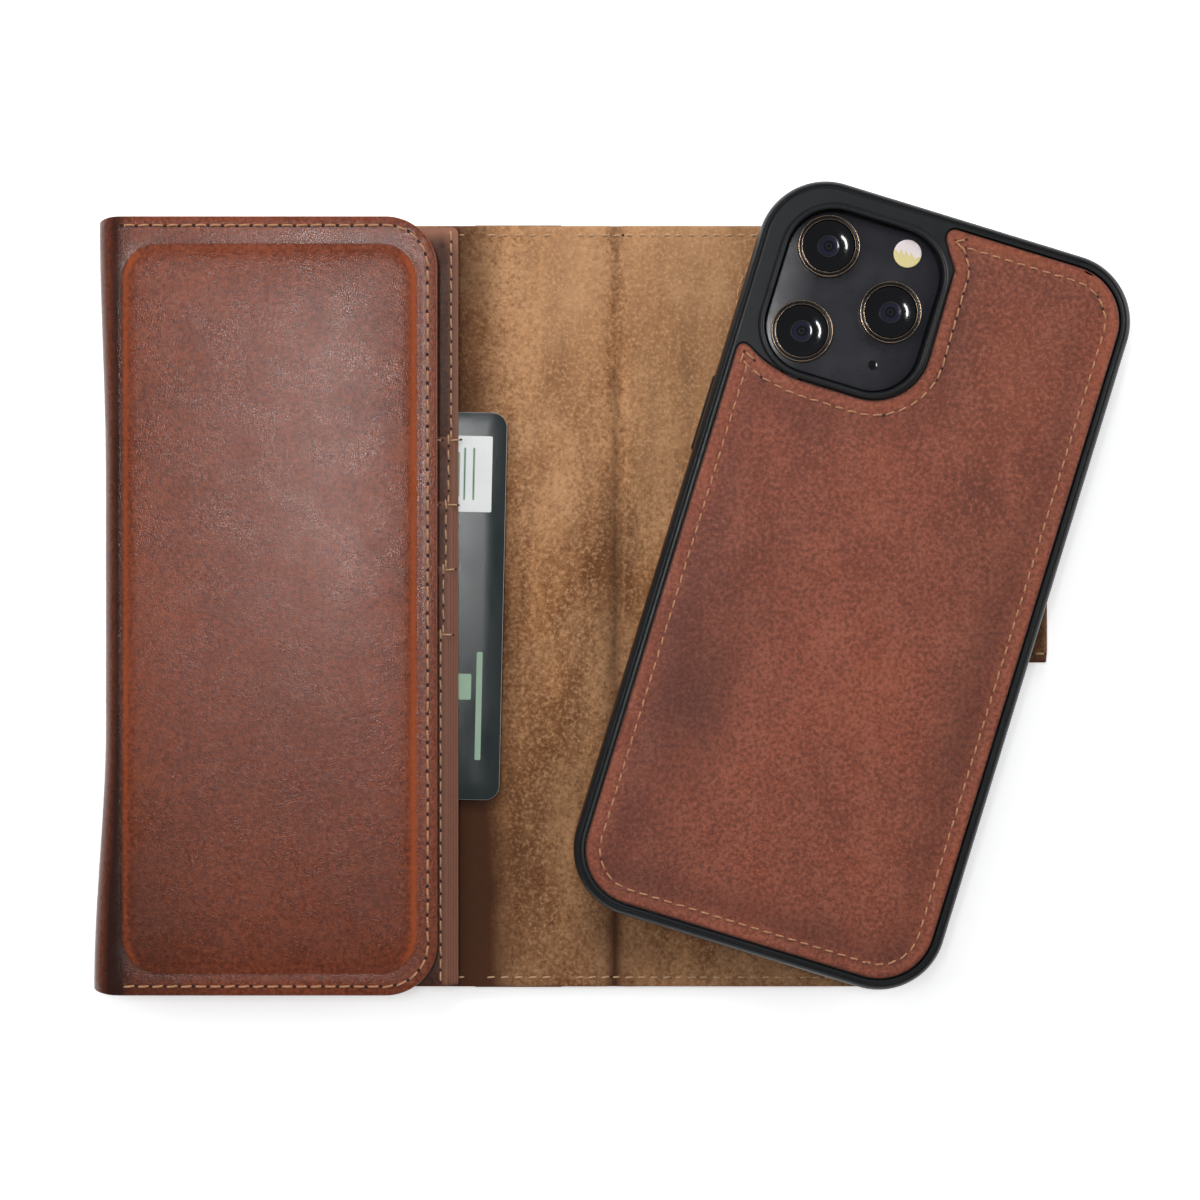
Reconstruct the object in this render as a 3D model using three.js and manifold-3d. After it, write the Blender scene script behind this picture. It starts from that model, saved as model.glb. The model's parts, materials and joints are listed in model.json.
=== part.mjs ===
// A tri-fold leather phone wallet, lying open with its detachable snap case askew on the back panel.
// Millimetres, +Z up. The origin is the bottom centre of the whole object's box.
import * as THREE from 'three';
import { mergeVertices } from 'three/addons/utils/BufferGeometryUtils.js';
import Module from 'manifold-3d';

const wasm = await Module();
wasm.setup();

// ---------- driving dimensions ----------
const LAYER_GAP = 0.05; // between flat layers that are glued on the real wallet
const FIT_GAP = 0.3; // round a piece that sits in a pocket cut for it
const FOLD_GAP = 0.05; // from a fold line to the layers on each side of it

// Wallet, plan view
const WALLET_LOW_Y = -86.05;
const WALLET_HIGH_Y = 83.3;
const BACK_RIGHT_X = 75.4;
const BACK_CORNER_R = 14;
const BACK_FOLD_X = -8.5; // fold between the spine and the back panel
const SPINE_WIDTH = 19.3;
const FRONT_FOLD_X = BACK_FOLD_X - SPINE_WIDTH; // fold between the front panel and the spine
const EDGE_X = -108.1; // outer fold of the front panel, where the flap turns over
const BOARD_INSET = 2;

// Wallet, layer heights
const LEATHER_T = 1.1;
const BOARD_Z = LEATHER_T + LAYER_GAP;
const BOARD_T = 0.8;
const SUEDE_Z = BOARD_Z + BOARD_T + LAYER_GAP;
const PANEL_T = 3;

// Camera window through the back panel
const WINDOW = { x0: 32.6, x1: 70.4, y0: 37.6, y1: 77.1, r: 11.5 };

// Steel plates that the magnets hold on to
const STEEL_PLATE = { x0: 6, x1: 58, y0: -72, y1: 30, r: 6 };
const PLATE_T = 0.7;
const CATCH_PLATE = { x0: -104.5, x1: -88.5, y0: -14, y1: 10.2, r: 3 };

// Card pockets on the front panel
const POCKET_LEFT_X = -104.6;
const POCKET_RIGHT_X = -31.3;
const POCKET_STEP_X = 0.55; // each pocket's side edge stands this much further in
const POCKET_RIM_W = 3;
const CARD_Z = PANEL_T + 1.15;
const CARD_T = 0.76;
const POCKET_T = 0.33;
const POCKET_MOUTH_Y = 36; // the highest pocket mouth
const POCKET_PITCH_Y = 14.3;
const POCKET_COUNT = 4;

// Bank card, standing out of the side pocket
const CARD_W = 53.98;
const CARD_H = 85.6;
const CARD_R = 3.18;
const CARD_CENTRE = { x: -48.4, y: -0.9 };
const CARD_TURN = THREE.MathUtils.degToRad(-1.26);

// Flap, folded over the front panel
const FLAP_Z = 6.9;
const FLAP_RIGHT_X = -35.7;
const FLAP_LOW_Y = -86.8;
const FLAP_HIGH_Y = 84.2;
const FLAP_R = 11.4;
const FLAP_BORDER_TOP = 8.85;
const FLAP_PANEL_TOP = 9.8;
const FLAP_PANEL = { x0: -105.1, x1: -39.9, y0: -82, y1: 78.3, r: 8.4 };
const FLAP_PANEL_SLOPE = 0.9;
const FLAP_POCKET_T = 0.4;
const FLAP_LINING_T = 0.5;
const PADDING_T = 0.8;
const PADDING_INSET = 2.2;
const EDGE_FOLD_T = 2.1;

// Closing strap, folded under itself beside the back panel
const STRAP_HINGE_X = 75.6;
const STRAP_W = 24;
const STRAP_CENTRE_Y = -1.9;
const STRAP_SIDE_END_X = 98.1;
const STRAP_AXIS_X = 100.35;
const STRAP_AXIS_Z = 1.825;
const STRAP_LAYER_T = 0.55;
const TAB_LENGTH = 22;
const TAB_LAYER_T = 0.5;
const TAB_STIFFENER_T = 0.7;
const TAB_MAGNET_R = 6;
const TAB_MAGNET_FROM_FOLD = 13;
const ANCHOR_LENGTH = 15;

// Snap case, in its own upright frame: x across, y up, from the case's centre
const CASE_CENTRE = { x: 54.77, y: 3.14 };
const CASE_TURN = THREE.MathUtils.degToRad(-17.05);
const CASE_W = 83.45;
const CASE_H = 166.1;
const CASE_R = 14.8;
const CASE_BOTTOM = 3.1;
const CASE_TOP = 14.5;
const CASE_EDGE_ROUND = 1.6;
const CASE_LIP_HEIGHT = 0.6;
const PHONE_W = 78.1;
const PHONE_H = 160.8;
const PHONE_R = 12.1;
const PHONE_BOTTOM = 4;
const PHONE_TOP = 11.4;
const SCREEN_T = 0.7;
const SCREEN_INSET = 1.25;
const CAVITY_TOP = 12.1;
const BACK_WALL_TOP = 13.3;
const BACK_LEATHER_INSET = 2.7;
const BACK_LEATHER_T = 1.1;
const CAMERA = { x0: -35.3, x1: -0.5, y0: 40.9, y1: 77.3, r: 10.5 };
const CAMERA_LIP_W = 1.3;
// The leather's notch: its edge beside and below the camera, which rises again to the left
const NOTCH = { topX: -2.7, waistX: 1.2, waistY: 71.9, sideX: 1.6, lowY: 39.1, r: 12.5, risesX: -22.7 };
const CAMERA_PLATE_TOP = 12.9;
const LENSES = [[-26.5, 68.9], [-26.7, 49.6], [-9.5, 59.1]];
const LENS_R = 6.75;
const LENS_RING_W = 0.7;
const LENS_HEIGHT = 1.6;
const FLASH = { x: -9.6, y: 72.5, r: 3.05 };
const SENSOR = { x: -9.7, y: 47.2, r: 1.05 };
const CASE_MAGNET_R = 5;
const CASE_MAGNET_Z = 12.4;
const CASE_MAGNET_T = 0.85;
const CASE_PIVOT = { x: CASE_W / 2 - CASE_R, y: CASE_R - CASE_H / 2 };
const CASE_MAGNETS = [[-CASE_PIVOT.x, CASE_PIVOT.y], [CASE_PIVOT.x, 66], [-CASE_PIVOT.x, 22]];
const BUTTON_Z = 7.9;
const BUTTON_H = 3;
const BUTTON_INNER_X = 39.85;
const BUTTON_OUTER_X = 42.2;
const MUTE_SLOT = { y: 47, length: 8, height: 4 };
const PORTS = [[0, 12, 5.4], [-21, 15, 3], [21, 15, 3]]; // charging port and two speakers: x, width, height

const SEGMENTS = 8; // steps in each rounded corner
const DISC_SEGMENTS = 32;

// ---------- colours ----------
const FINISH = {
  coverLeather: { color: 0x8c4b3a, roughness: 0.42, metalness: 0 },
  suede: { color: 0xa4764f, roughness: 0.92, metalness: 0 },
  pocketLeather: { color: 0x70402c, roughness: 0.55, metalness: 0 },
  board: { color: 0x8d8272, roughness: 0.9, metalness: 0 },
  steel: { color: 0xa9acb0, roughness: 0.35, metalness: 1 },
  magnet: { color: 0xc4c6c9, roughness: 0.25, metalness: 1 },
  foam: { color: 0xd8d3c6, roughness: 0.95, metalness: 0 },
  card: { color: 0x46525a, roughness: 0.35, metalness: 0 },
  shell: { color: 0x191c1e, roughness: 0.55, metalness: 0 },
  microfibre: { color: 0x2c2e31, roughness: 0.95, metalness: 0 },
  caseLeather: { color: 0x9c5337, roughness: 0.5, metalness: 0 },
  phoneMetal: { color: 0x3b3d42, roughness: 0.35, metalness: 1 },
  screenGlass: { color: 0x08090b, roughness: 0.08, metalness: 0 },
  cameraPlate: { color: 0x30323a, roughness: 0.45, metalness: 0 },
  lensRing: { color: 0xb59c80, roughness: 0.3, metalness: 1 },
  lensGlass: { color: 0x050506, roughness: 0.05, metalness: 0 },
  flashLens: { color: 0xe2d79b, roughness: 0.3, metalness: 0 },
};

// ---------- shape helpers ----------

/** A rectangle with rounded corners. Radii are for top left, top right, bottom right, bottom left. */
function roundedRect(x0, x1, y0, y1, radii) {
  const [tl, tr, br, bl] = Array.isArray(radii) ? radii : [radii, radii, radii, radii];
  const shape = new THREE.Shape();
  shape.moveTo(x0 + bl, y0);
  shape.lineTo(x1 - br, y0);
  if (br > 0) shape.absarc(x1 - br, y0 + br, br, -Math.PI / 2, 0, false);
  shape.lineTo(x1, y1 - tr);
  if (tr > 0) shape.absarc(x1 - tr, y1 - tr, tr, 0, Math.PI / 2, false);
  shape.lineTo(x0 + tl, y1);
  if (tl > 0) shape.absarc(x0 + tl, y1 - tl, tl, Math.PI / 2, Math.PI, false);
  shape.lineTo(x0, y0 + bl);
  if (bl > 0) shape.absarc(x0 + bl, y0 + bl, bl, Math.PI, Math.PI * 1.5, false);
  return shape;
}

/** The outline of a box such as WINDOW, grown outwards by grow. */
function boxOutline(box, grow = 0) {
  return roundedRect(box.x0 - grow, box.x1 + grow, box.y0 - grow, box.y1 + grow, box.r + grow);
}

/** A rounded rectangle centred on the case's own origin. */
function centredOutline(width, height, radius) {
  return roundedRect(-width / 2, width / 2, -height / 2, height / 2, radius);
}

/** A flat slab of a shape between two heights. */
function slab(shape, z0, z1) {
  const geometry = new THREE.ExtrudeGeometry(shape, {
    depth: z1 - z0,
    bevelEnabled: false,
    curveSegments: SEGMENTS,
  });
  return geometry.translate(0, 0, z0);
}

/** A slab whose top and bottom edges are rounded by the given radius. */
function roundedSlab(shape, z0, z1, round) {
  const geometry = new THREE.ExtrudeGeometry(shape, {
    depth: z1 - z0 - 2 * round,
    bevelEnabled: true,
    bevelThickness: round,
    bevelSize: round,
    bevelOffset: -round,
    bevelSegments: 3,
    curveSegments: SEGMENTS,
  });
  return geometry.translate(0, 0, z0 + round);
}

/** A disc standing on z0. */
function disc(x, y, radius, z0, z1) {
  const geometry = new THREE.CylinderGeometry(radius, radius, z1 - z0, DISC_SEGMENTS);
  return geometry.rotateX(Math.PI / 2).translate(x, y, (z0 + z1) / 2);
}

/** A flat ring turned about its own centre. */
function ring(x, y, outer, inner, z0, z1) {
  const profile = [[inner, z0], [outer, z0], [outer, z1], [inner, z1], [inner, z0]];
  const points = profile.map(([radius, height]) => new THREE.Vector2(radius, height));
  return new THREE.LatheGeometry(points, DISC_SEGMENTS).rotateX(Math.PI / 2).translate(x, y, 0);
}

/** A box given by its low and high corners. */
function block(x0, x1, y0, y1, z0, z1) {
  const geometry = new THREE.BoxGeometry(x1 - x0, y1 - y0, z1 - z0);
  return geometry.translate((x0 + x1) / 2, (y0 + y1) / 2, (z0 + z1) / 2);
}

/** A closed geometry as a solid that can be joined and cut. */
function toSolid(geometry) {
  const bare = geometry.clone();
  bare.deleteAttribute('normal');
  bare.deleteAttribute('uv');
  const merged = mergeVertices(bare, 1e-4);
  return new wasm.Manifold(new wasm.Mesh({
    numProp: 3,
    vertProperties: new Float32Array(merged.attributes.position.array),
    triVerts: new Uint32Array(merged.index.array),
  }));
}

/** A solid back as a geometry. */
function toGeometry(solid) {
  const mesh = solid.getMesh();
  const geometry = new THREE.BufferGeometry();
  geometry.setAttribute('position', new THREE.BufferAttribute(mesh.vertProperties, 3));
  geometry.setIndex(new THREE.BufferAttribute(mesh.triVerts, 1));
  geometry.computeVertexNormals();
  return geometry;
}

/** The base geometry with others joined on and then others cut away. */
function carve(base, { join = [], cut = [] }) {
  let solid = toSolid(base);
  for (const piece of join) solid = solid.add(toSolid(piece));
  for (const piece of cut) solid = solid.subtract(toSolid(piece));
  return toGeometry(solid);
}

/** Adds one named piece to a group. */
function addPiece(group, name, geometry, finish) {
  const mesh = new THREE.Mesh(geometry, new THREE.MeshStandardMaterial(finish));
  mesh.name = name;
  group.add(mesh);
  return mesh;
}

// ---------- back panel ----------

/** Outline of one layer of the back panel, inset from its three free edges. */
function backOutline(inset) {
  const corner = BACK_CORNER_R - inset;
  return roundedRect(
    BACK_FOLD_X + FOLD_GAP + inset, BACK_RIGHT_X - inset,
    WALLET_LOW_Y + inset, WALLET_HIGH_Y - inset,
    [0, corner, corner, 0],
  );
}

/** One back panel layer with the camera window cut through it. */
function backLayer(inset, z0, z1, cuts = []) {
  const window = slab(boxOutline(WINDOW, inset), z0 - 1, z1 + 1);
  return carve(slab(backOutline(inset), z0, z1), { cut: [window, ...cuts] });
}

function addBackPanel(group) {
  const strapLow = STRAP_CENTRE_Y - STRAP_W / 2;
  const strapHigh = STRAP_CENTRE_Y + STRAP_W / 2;
  const boardTop = BOARD_Z + BOARD_T;
  const plateZ = BOARD_Z + LAYER_GAP;
  const anchorX = BACK_RIGHT_X - ANCHOR_LENGTH;
  const anchorSlot = block(
    anchorX - FIT_GAP, BACK_RIGHT_X + 1,
    strapLow - FIT_GAP, strapHigh + FIT_GAP, 0, PANEL_T,
  );
  const steelSlot = slab(boxOutline(STEEL_PLATE, FIT_GAP), 0, PANEL_T);
  addPiece(group, 'back_panel_leather', backLayer(0, 0, LEATHER_T), FINISH.coverLeather);
  addPiece(
    group, 'back_panel_board',
    backLayer(BOARD_INSET, BOARD_Z, boardTop, [steelSlot, anchorSlot]), FINISH.board,
  );
  addPiece(
    group, 'back_panel_steel_plate',
    slab(boxOutline(STEEL_PLATE), plateZ, plateZ + PLATE_T), FINISH.steel,
  );
  addPiece(group, 'back_panel_suede', backLayer(0, SUEDE_Z, PANEL_T), FINISH.suede);
  addPiece(
    group, 'strap_anchor',
    block(anchorX, BACK_RIGHT_X, strapLow, strapHigh, plateZ, plateZ + PLATE_T),
    FINISH.coverLeather,
  );
}

// ---------- spine ----------

function addSpine(group) {
  const layers = [
    ['spine_leather', 0, LEATHER_T, FINISH.coverLeather],
    ['spine_interlining', BOARD_Z, BOARD_Z + BOARD_T, FINISH.board],
    ['spine_suede', SUEDE_Z, PANEL_T, FINISH.suede],
  ];
  for (const [name, z0, z1, finish] of layers) {
    const geometry = block(
      FRONT_FOLD_X + FOLD_GAP, BACK_FOLD_X - FOLD_GAP, WALLET_LOW_Y, WALLET_HIGH_Y, z0, z1,
    );
    addPiece(group, name, geometry, finish);
  }
}

// ---------- front panel and its pockets ----------

/** A plain rectangle of the front panel, inset from its edges. */
function frontOutline(inset) {
  return roundedRect(
    EDGE_X + FOLD_GAP + inset, FRONT_FOLD_X - FOLD_GAP - inset,
    WALLET_LOW_Y + inset, WALLET_HIGH_Y - inset, 0,
  );
}

/** One staggered card pocket, open at its mouth and at its lower layers' side edges. */
function cardPocket(index) {
  const z0 = CARD_Z + CARD_T + LAYER_GAP + (index + 1) * (POCKET_T + LAYER_GAP);
  const mouth = POCKET_MOUTH_Y - index * POCKET_PITCH_Y;
  const right = POCKET_RIGHT_X - (index + 1) * POCKET_STEP_X;
  const low = WALLET_LOW_Y + 1;
  return slab(roundedRect(POCKET_LEFT_X, right, low, mouth, 0), z0, z0 + POCKET_T);
}

function addFrontPanel(group) {
  const low = WALLET_LOW_Y + 1;
  const high = WALLET_HIGH_Y - 1;
  const plateZ = BOARD_Z + LAYER_GAP;
  const plateSlot = slab(boxOutline(CATCH_PLATE, FIT_GAP), 0, PANEL_T);
  const board = slab(frontOutline(BOARD_INSET), BOARD_Z, BOARD_Z + BOARD_T);
  addPiece(group, 'front_panel_leather', slab(frontOutline(0), 0, LEATHER_T), FINISH.coverLeather);
  addPiece(group, 'front_panel_board', carve(board, { cut: [plateSlot] }), FINISH.board);
  addPiece(
    group, 'catch_plate',
    slab(boxOutline(CATCH_PLATE), plateZ, plateZ + PLATE_T), FINISH.steel,
  );
  addPiece(group, 'front_panel_lining', slab(frontOutline(0), SUEDE_Z, PANEL_T), FINISH.suede);

  const rimZ = PANEL_T + LAYER_GAP;
  const rimTop = CARD_Z + CARD_T;
  const rim = slab(roundedRect(POCKET_LEFT_X, POCKET_RIGHT_X, low, high, 0), rimZ, rimTop);
  const inside = block(
    POCKET_LEFT_X + POCKET_RIM_W, POCKET_RIGHT_X + 1,
    low + POCKET_RIM_W, high - POCKET_RIM_W, rimZ - 1, rimTop + 1,
  );
  addPiece(group, 'side_pocket_rim', carve(rim, { cut: [inside] }), FINISH.pocketLeather);
  const backingZ = CARD_Z + CARD_T + LAYER_GAP;
  const backing = roundedRect(POCKET_LEFT_X, POCKET_RIGHT_X, low, high, 0);
  addPiece(
    group, 'pocket_backing', slab(backing, backingZ, backingZ + POCKET_T), FINISH.pocketLeather,
  );
  for (let index = 0; index < POCKET_COUNT; index += 1) {
    addPiece(group, `card_pocket_${index + 1}`, cardPocket(index), FINISH.pocketLeather);
  }
}

function addCard(group) {
  const card = addPiece(
    group, 'bank_card', slab(centredOutline(CARD_W, CARD_H, CARD_R), 0, CARD_T - LAYER_GAP),
    FINISH.card,
  );
  card.position.set(CARD_CENTRE.x, CARD_CENTRE.y, CARD_Z);
  card.rotation.z = CARD_TURN;
}

// ---------- edge fold and flap ----------

function addEdgeFold(group) {
  const outer = EDGE_X - EDGE_FOLD_T;
  const middle = EDGE_X - EDGE_FOLD_T / 2;
  const z0 = PANEL_T + FOLD_GAP;
  const z1 = FLAP_Z - FOLD_GAP;
  addPiece(
    group, 'edge_fold_leather',
    block(outer, middle, WALLET_LOW_Y, WALLET_HIGH_Y, z0, z1), FINISH.coverLeather,
  );
  addPiece(
    group, 'edge_fold_lining',
    block(middle + LAYER_GAP, EDGE_X, WALLET_LOW_Y, WALLET_HIGH_Y, z0, z1), FINISH.suede,
  );
}

/** Outline of the flap: square at the fold, rounded at its two free corners. */
function flapOutline(inset) {
  const corner = FLAP_R - inset;
  return roundedRect(
    EDGE_X + FOLD_GAP + inset, FLAP_RIGHT_X - inset, FLAP_LOW_Y + inset, FLAP_HIGH_Y - inset,
    [0, corner, corner, 0],
  );
}

function addFlap(group) {
  const liningZ = FLAP_Z + FLAP_POCKET_T + LAYER_GAP;
  const leatherZ = liningZ + FLAP_LINING_T + LAYER_GAP;
  const paddingTop = leatherZ + PADDING_T;
  const pocketInset = 1;
  const pocket = roundedRect(
    EDGE_X + 4, FLAP_RIGHT_X - pocketInset, FLAP_LOW_Y + pocketInset, 20,
    [0, 0, FLAP_R - pocketInset, 0],
  );
  const raised = roundedSlab(boxOutline(FLAP_PANEL), leatherZ, FLAP_PANEL_TOP, FLAP_PANEL_SLOPE);
  const hollow = slab(
    boxOutline(FLAP_PANEL, -PADDING_INSET + FIT_GAP), leatherZ - 1, paddingTop + LAYER_GAP,
  );
  const border = slab(flapOutline(0), leatherZ, FLAP_BORDER_TOP);
  addPiece(group, 'flap_leather', carve(border, { join: [raised], cut: [hollow] }), FINISH.coverLeather);
  addPiece(
    group, 'flap_padding', slab(boxOutline(FLAP_PANEL, -PADDING_INSET), leatherZ, paddingTop),
    FINISH.foam,
  );
  addPiece(
    group, 'flap_lining', slab(flapOutline(0.4), liningZ, liningZ + FLAP_LINING_T), FINISH.suede,
  );
  addPiece(group, 'flap_pocket', slab(pocket, FLAP_Z, FLAP_Z + FLAP_POCKET_T), FINISH.suede);
}

// ---------- closing strap ----------

function addStrap(group) {
  const low = STRAP_CENTRE_Y - STRAP_W / 2;
  const high = STRAP_CENTRE_Y + STRAP_W / 2;
  const leatherZ = STRAP_AXIS_Z + LAYER_GAP / 2;
  const liningZ = leatherZ + STRAP_LAYER_T + LAYER_GAP;
  const tabStart = STRAP_SIDE_END_X - TAB_LENGTH;
  const tabLiningTop = TAB_LAYER_T;
  const stiffenerZ = tabLiningTop + LAYER_GAP;
  const tabLeatherZ = stiffenerZ + TAB_STIFFENER_T + LAYER_GAP;
  const magnet = { x: STRAP_SIDE_END_X - TAB_MAGNET_FROM_FOLD, y: STRAP_CENTRE_Y };
  const tabOutline = roundedRect(tabStart, STRAP_SIDE_END_X, low, high, [4, 0, 0, 4]);
  const magnetHole = disc(magnet.x, magnet.y, TAB_MAGNET_R + FIT_GAP, 0, PANEL_T);
  const stiffener = slab(tabOutline, stiffenerZ, stiffenerZ + TAB_STIFFENER_T);
  addPiece(
    group, 'strap_side_leather',
    block(STRAP_HINGE_X, STRAP_SIDE_END_X, low, high, leatherZ, leatherZ + STRAP_LAYER_T),
    FINISH.coverLeather,
  );
  addPiece(
    group, 'strap_side_lining',
    block(STRAP_HINGE_X, STRAP_SIDE_END_X, low, high, liningZ, liningZ + STRAP_LAYER_T),
    FINISH.suede,
  );
  addPiece(group, 'strap_tab_lining', slab(tabOutline, 0, tabLiningTop), FINISH.suede);
  addPiece(group, 'strap_tab_stiffener', carve(stiffener, { cut: [magnetHole] }), FINISH.board);
  addPiece(
    group, 'strap_tab_magnet',
    disc(magnet.x, magnet.y, TAB_MAGNET_R, stiffenerZ + LAYER_GAP, stiffenerZ + TAB_STIFFENER_T),
    FINISH.magnet,
  );
  addPiece(
    group, 'strap_tab_leather',
    slab(tabOutline, tabLeatherZ, tabLeatherZ + TAB_LAYER_T - LAYER_GAP), FINISH.coverLeather,
  );
}

// ---------- snap case ----------

/** Outline of the leather on the case's back, with the notch that passes round the camera. */
function backLeatherOutline(grow) {
  const w = CASE_W / 2 - BACK_LEATHER_INSET + grow;
  const h = CASE_H / 2 - BACK_LEATHER_INSET + grow;
  const r = CASE_R - BACK_LEATHER_INSET + grow;
  const notch = {
    top: NOTCH.topX - grow,
    waist: NOTCH.waistX - grow,
    side: NOTCH.sideX - grow,
    low: NOTCH.lowY + grow,
    r: NOTCH.r,
  };
  const shape = new THREE.Shape();
  shape.moveTo(-w + r, -h);
  shape.lineTo(w - r, -h);
  shape.absarc(w - r, -h + r, r, -Math.PI / 2, 0, false);
  shape.lineTo(w, h - r);
  shape.absarc(w - r, h - r, r, 0, Math.PI / 2, false);
  shape.lineTo(notch.top, h);
  shape.quadraticCurveTo(notch.top + 0.8, 76.5, notch.waist, NOTCH.waistY);
  shape.lineTo(notch.side, notch.low + notch.r);
  shape.absarc(notch.side - notch.r, notch.low + notch.r, notch.r, 0, -Math.PI / 2, true);
  shape.lineTo(NOTCH.risesX, notch.low);
  shape.quadraticCurveTo(-31, notch.low + 0.3, -37.4, notch.low + 4);
  shape.lineTo(-w, notch.low + 4.2);
  shape.lineTo(-w, -h + r);
  shape.absarc(-w + r, -h + r, r, Math.PI, Math.PI * 1.5, false);
  return shape;
}

/** A pill-shaped bar that lies across a side wall, for a key pad or the slot it sits in. */
function sideBar(x0, x1, y, length, height, grow) {
  const half = height / 2 + grow;
  const outline = roundedRect(-half, half, -length / 2 - grow, length / 2 + grow, half * 0.98);
  return slab(outline, x0, x1).rotateY(Math.PI / 2).translate(0, y, BUTTON_Z);
}

const KEY_PADS = [
  { name: 'volume_up_pad', side: 1, y: 34, length: 11 },
  { name: 'volume_down_pad', side: 1, y: 19.5, length: 11 },
  { name: 'power_pad', side: -1, y: 27, length: 17 },
];

/** The span in x that a pad covers on its own side of the case. */
function padSpan(side) {
  return side > 0 ? [BUTTON_INNER_X, BUTTON_OUTER_X] : [-BUTTON_OUTER_X, -BUTTON_INNER_X];
}

/** The flexible shell with its screen lip, camera opening, key slots and port cut-outs. */
function caseShell() {
  const outer = roundedSlab(centredOutline(CASE_W, CASE_H, CASE_R), CASE_BOTTOM, CASE_TOP, CASE_EDGE_ROUND);
  const lip = slab(boxOutline(CAMERA, CAMERA_LIP_W), BACK_WALL_TOP, CASE_TOP + CASE_LIP_HEIGHT);
  const cavity = slab(
    centredOutline(PHONE_W + 2 * FIT_GAP, PHONE_H + 2 * FIT_GAP, PHONE_R + FIT_GAP),
    PHONE_BOTTOM - FIT_GAP, CAVITY_TOP,
  );
  const front = slab(
    centredOutline(PHONE_W - 2, PHONE_H - 2, PHONE_R - 1), CASE_BOTTOM - 1, PHONE_BOTTOM,
  );
  const cameraHole = slab(boxOutline(CAMERA), CAVITY_TOP - 1, CASE_TOP + 2);
  const recess = slab(backLeatherOutline(FIT_GAP), BACK_WALL_TOP, CASE_TOP + 2);
  const cuts = [cavity, front, cameraHole, recess];
  for (const [x, y] of [...CASE_MAGNETS, [CASE_PIVOT.x, CASE_PIVOT.y]]) {
    cuts.push(disc(x, y, CASE_MAGNET_R + FIT_GAP, CASE_MAGNET_Z - LAYER_GAP, BACK_WALL_TOP + 1));
  }
  for (const { side, y, length } of KEY_PADS) {
    const [x0, x1] = padSpan(side);
    cuts.push(sideBar(x0 - 2, x1 + 2, y, length, BUTTON_H, FIT_GAP));
  }
  const wall = CASE_W / 2 - 4;
  cuts.push(sideBar(wall, CASE_W / 2 + 1, MUTE_SLOT.y, MUTE_SLOT.length, MUTE_SLOT.height, 0));
  const foot = -CASE_H / 2;
  for (const [x, width, height] of PORTS) {
    const z0 = BUTTON_Z - height / 2;
    cuts.push(block(x - width / 2, x + width / 2, foot - 1, foot + 4, z0, z0 + height));
  }
  return carve(outer, { join: [lip], cut: cuts });
}

function addSnapCase(group) {
  const leatherZ = BACK_WALL_TOP + LAYER_GAP;
  const liningOutline = centredOutline(PHONE_W - 0.6, PHONE_H - 0.6, PHONE_R - 0.3);
  const cameraClear = slab(boxOutline(CAMERA, 0.5), 0, CASE_TOP);
  const lining = slab(liningOutline, PHONE_TOP + LAYER_GAP, CAVITY_TOP - LAYER_GAP);
  addPiece(group, 'case_shell', caseShell(), FINISH.shell);
  addPiece(
    group, 'case_back_leather',
    slab(backLeatherOutline(0), leatherZ, leatherZ + BACK_LEATHER_T), FINISH.caseLeather,
  );
  addPiece(group, 'case_inner_lining', carve(lining, { cut: [cameraClear] }), FINISH.microfibre);
  CASE_MAGNETS.forEach(([x, y], index) => {
    const magnet = disc(x, y, CASE_MAGNET_R, CASE_MAGNET_Z, CASE_MAGNET_Z + CASE_MAGNET_T);
    addPiece(group, `case_magnet_${index + 1}`, magnet, FINISH.magnet);
  });
  const pivotMagnet = disc(
    CASE_PIVOT.x, CASE_PIVOT.y, CASE_MAGNET_R, CASE_MAGNET_Z, CASE_MAGNET_Z + CASE_MAGNET_T,
  );
  addPiece(group, 'case_magnet_4', pivotMagnet, FINISH.magnet);
  for (const { name, side, y, length } of KEY_PADS) {
    const [x0, x1] = padSpan(side);
    addPiece(group, name, sideBar(x0, x1, y, length, BUTTON_H, 0), FINISH.shell);
  }
}

// ---------- phone held in the case ----------

function addPhone(group) {
  const screen = centredOutline(
    PHONE_W - 2 * SCREEN_INSET, PHONE_H - 2 * SCREEN_INSET, PHONE_R - SCREEN_INSET,
  );
  const bodyZ = PHONE_BOTTOM + SCREEN_T + LAYER_GAP;
  const lensZ = CAMERA_PLATE_TOP + LAYER_GAP;
  addPiece(
    group, 'phone_screen', slab(screen, PHONE_BOTTOM, PHONE_BOTTOM + SCREEN_T), FINISH.screenGlass,
  );
  addPiece(
    group, 'phone_body', slab(centredOutline(PHONE_W, PHONE_H, PHONE_R), bodyZ, PHONE_TOP),
    FINISH.phoneMetal,
  );
  addPiece(
    group, 'camera_plate',
    slab(boxOutline(CAMERA, -FIT_GAP), PHONE_TOP + LAYER_GAP, CAMERA_PLATE_TOP), FINISH.cameraPlate,
  );
  LENSES.forEach(([x, y], index) => {
    const inner = LENS_R - LENS_RING_W;
    const top = lensZ + LENS_HEIGHT;
    addPiece(group, `lens_ring_${index + 1}`, ring(x, y, LENS_R, inner, lensZ, top), FINISH.lensRing);
    addPiece(
      group, `lens_glass_${index + 1}`, disc(x, y, inner - 0.15, lensZ, top - 0.35), FINISH.lensGlass,
    );
  });
  addPiece(
    group, 'flash_lens', disc(FLASH.x, FLASH.y, FLASH.r, lensZ, lensZ + 0.2), FINISH.flashLens,
  );
  addPiece(
    group, 'depth_sensor', disc(SENSOR.x, SENSOR.y, SENSOR.r, lensZ, lensZ + 0.2), FINISH.lensGlass,
  );
}

// ---------- assembly ----------

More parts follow.
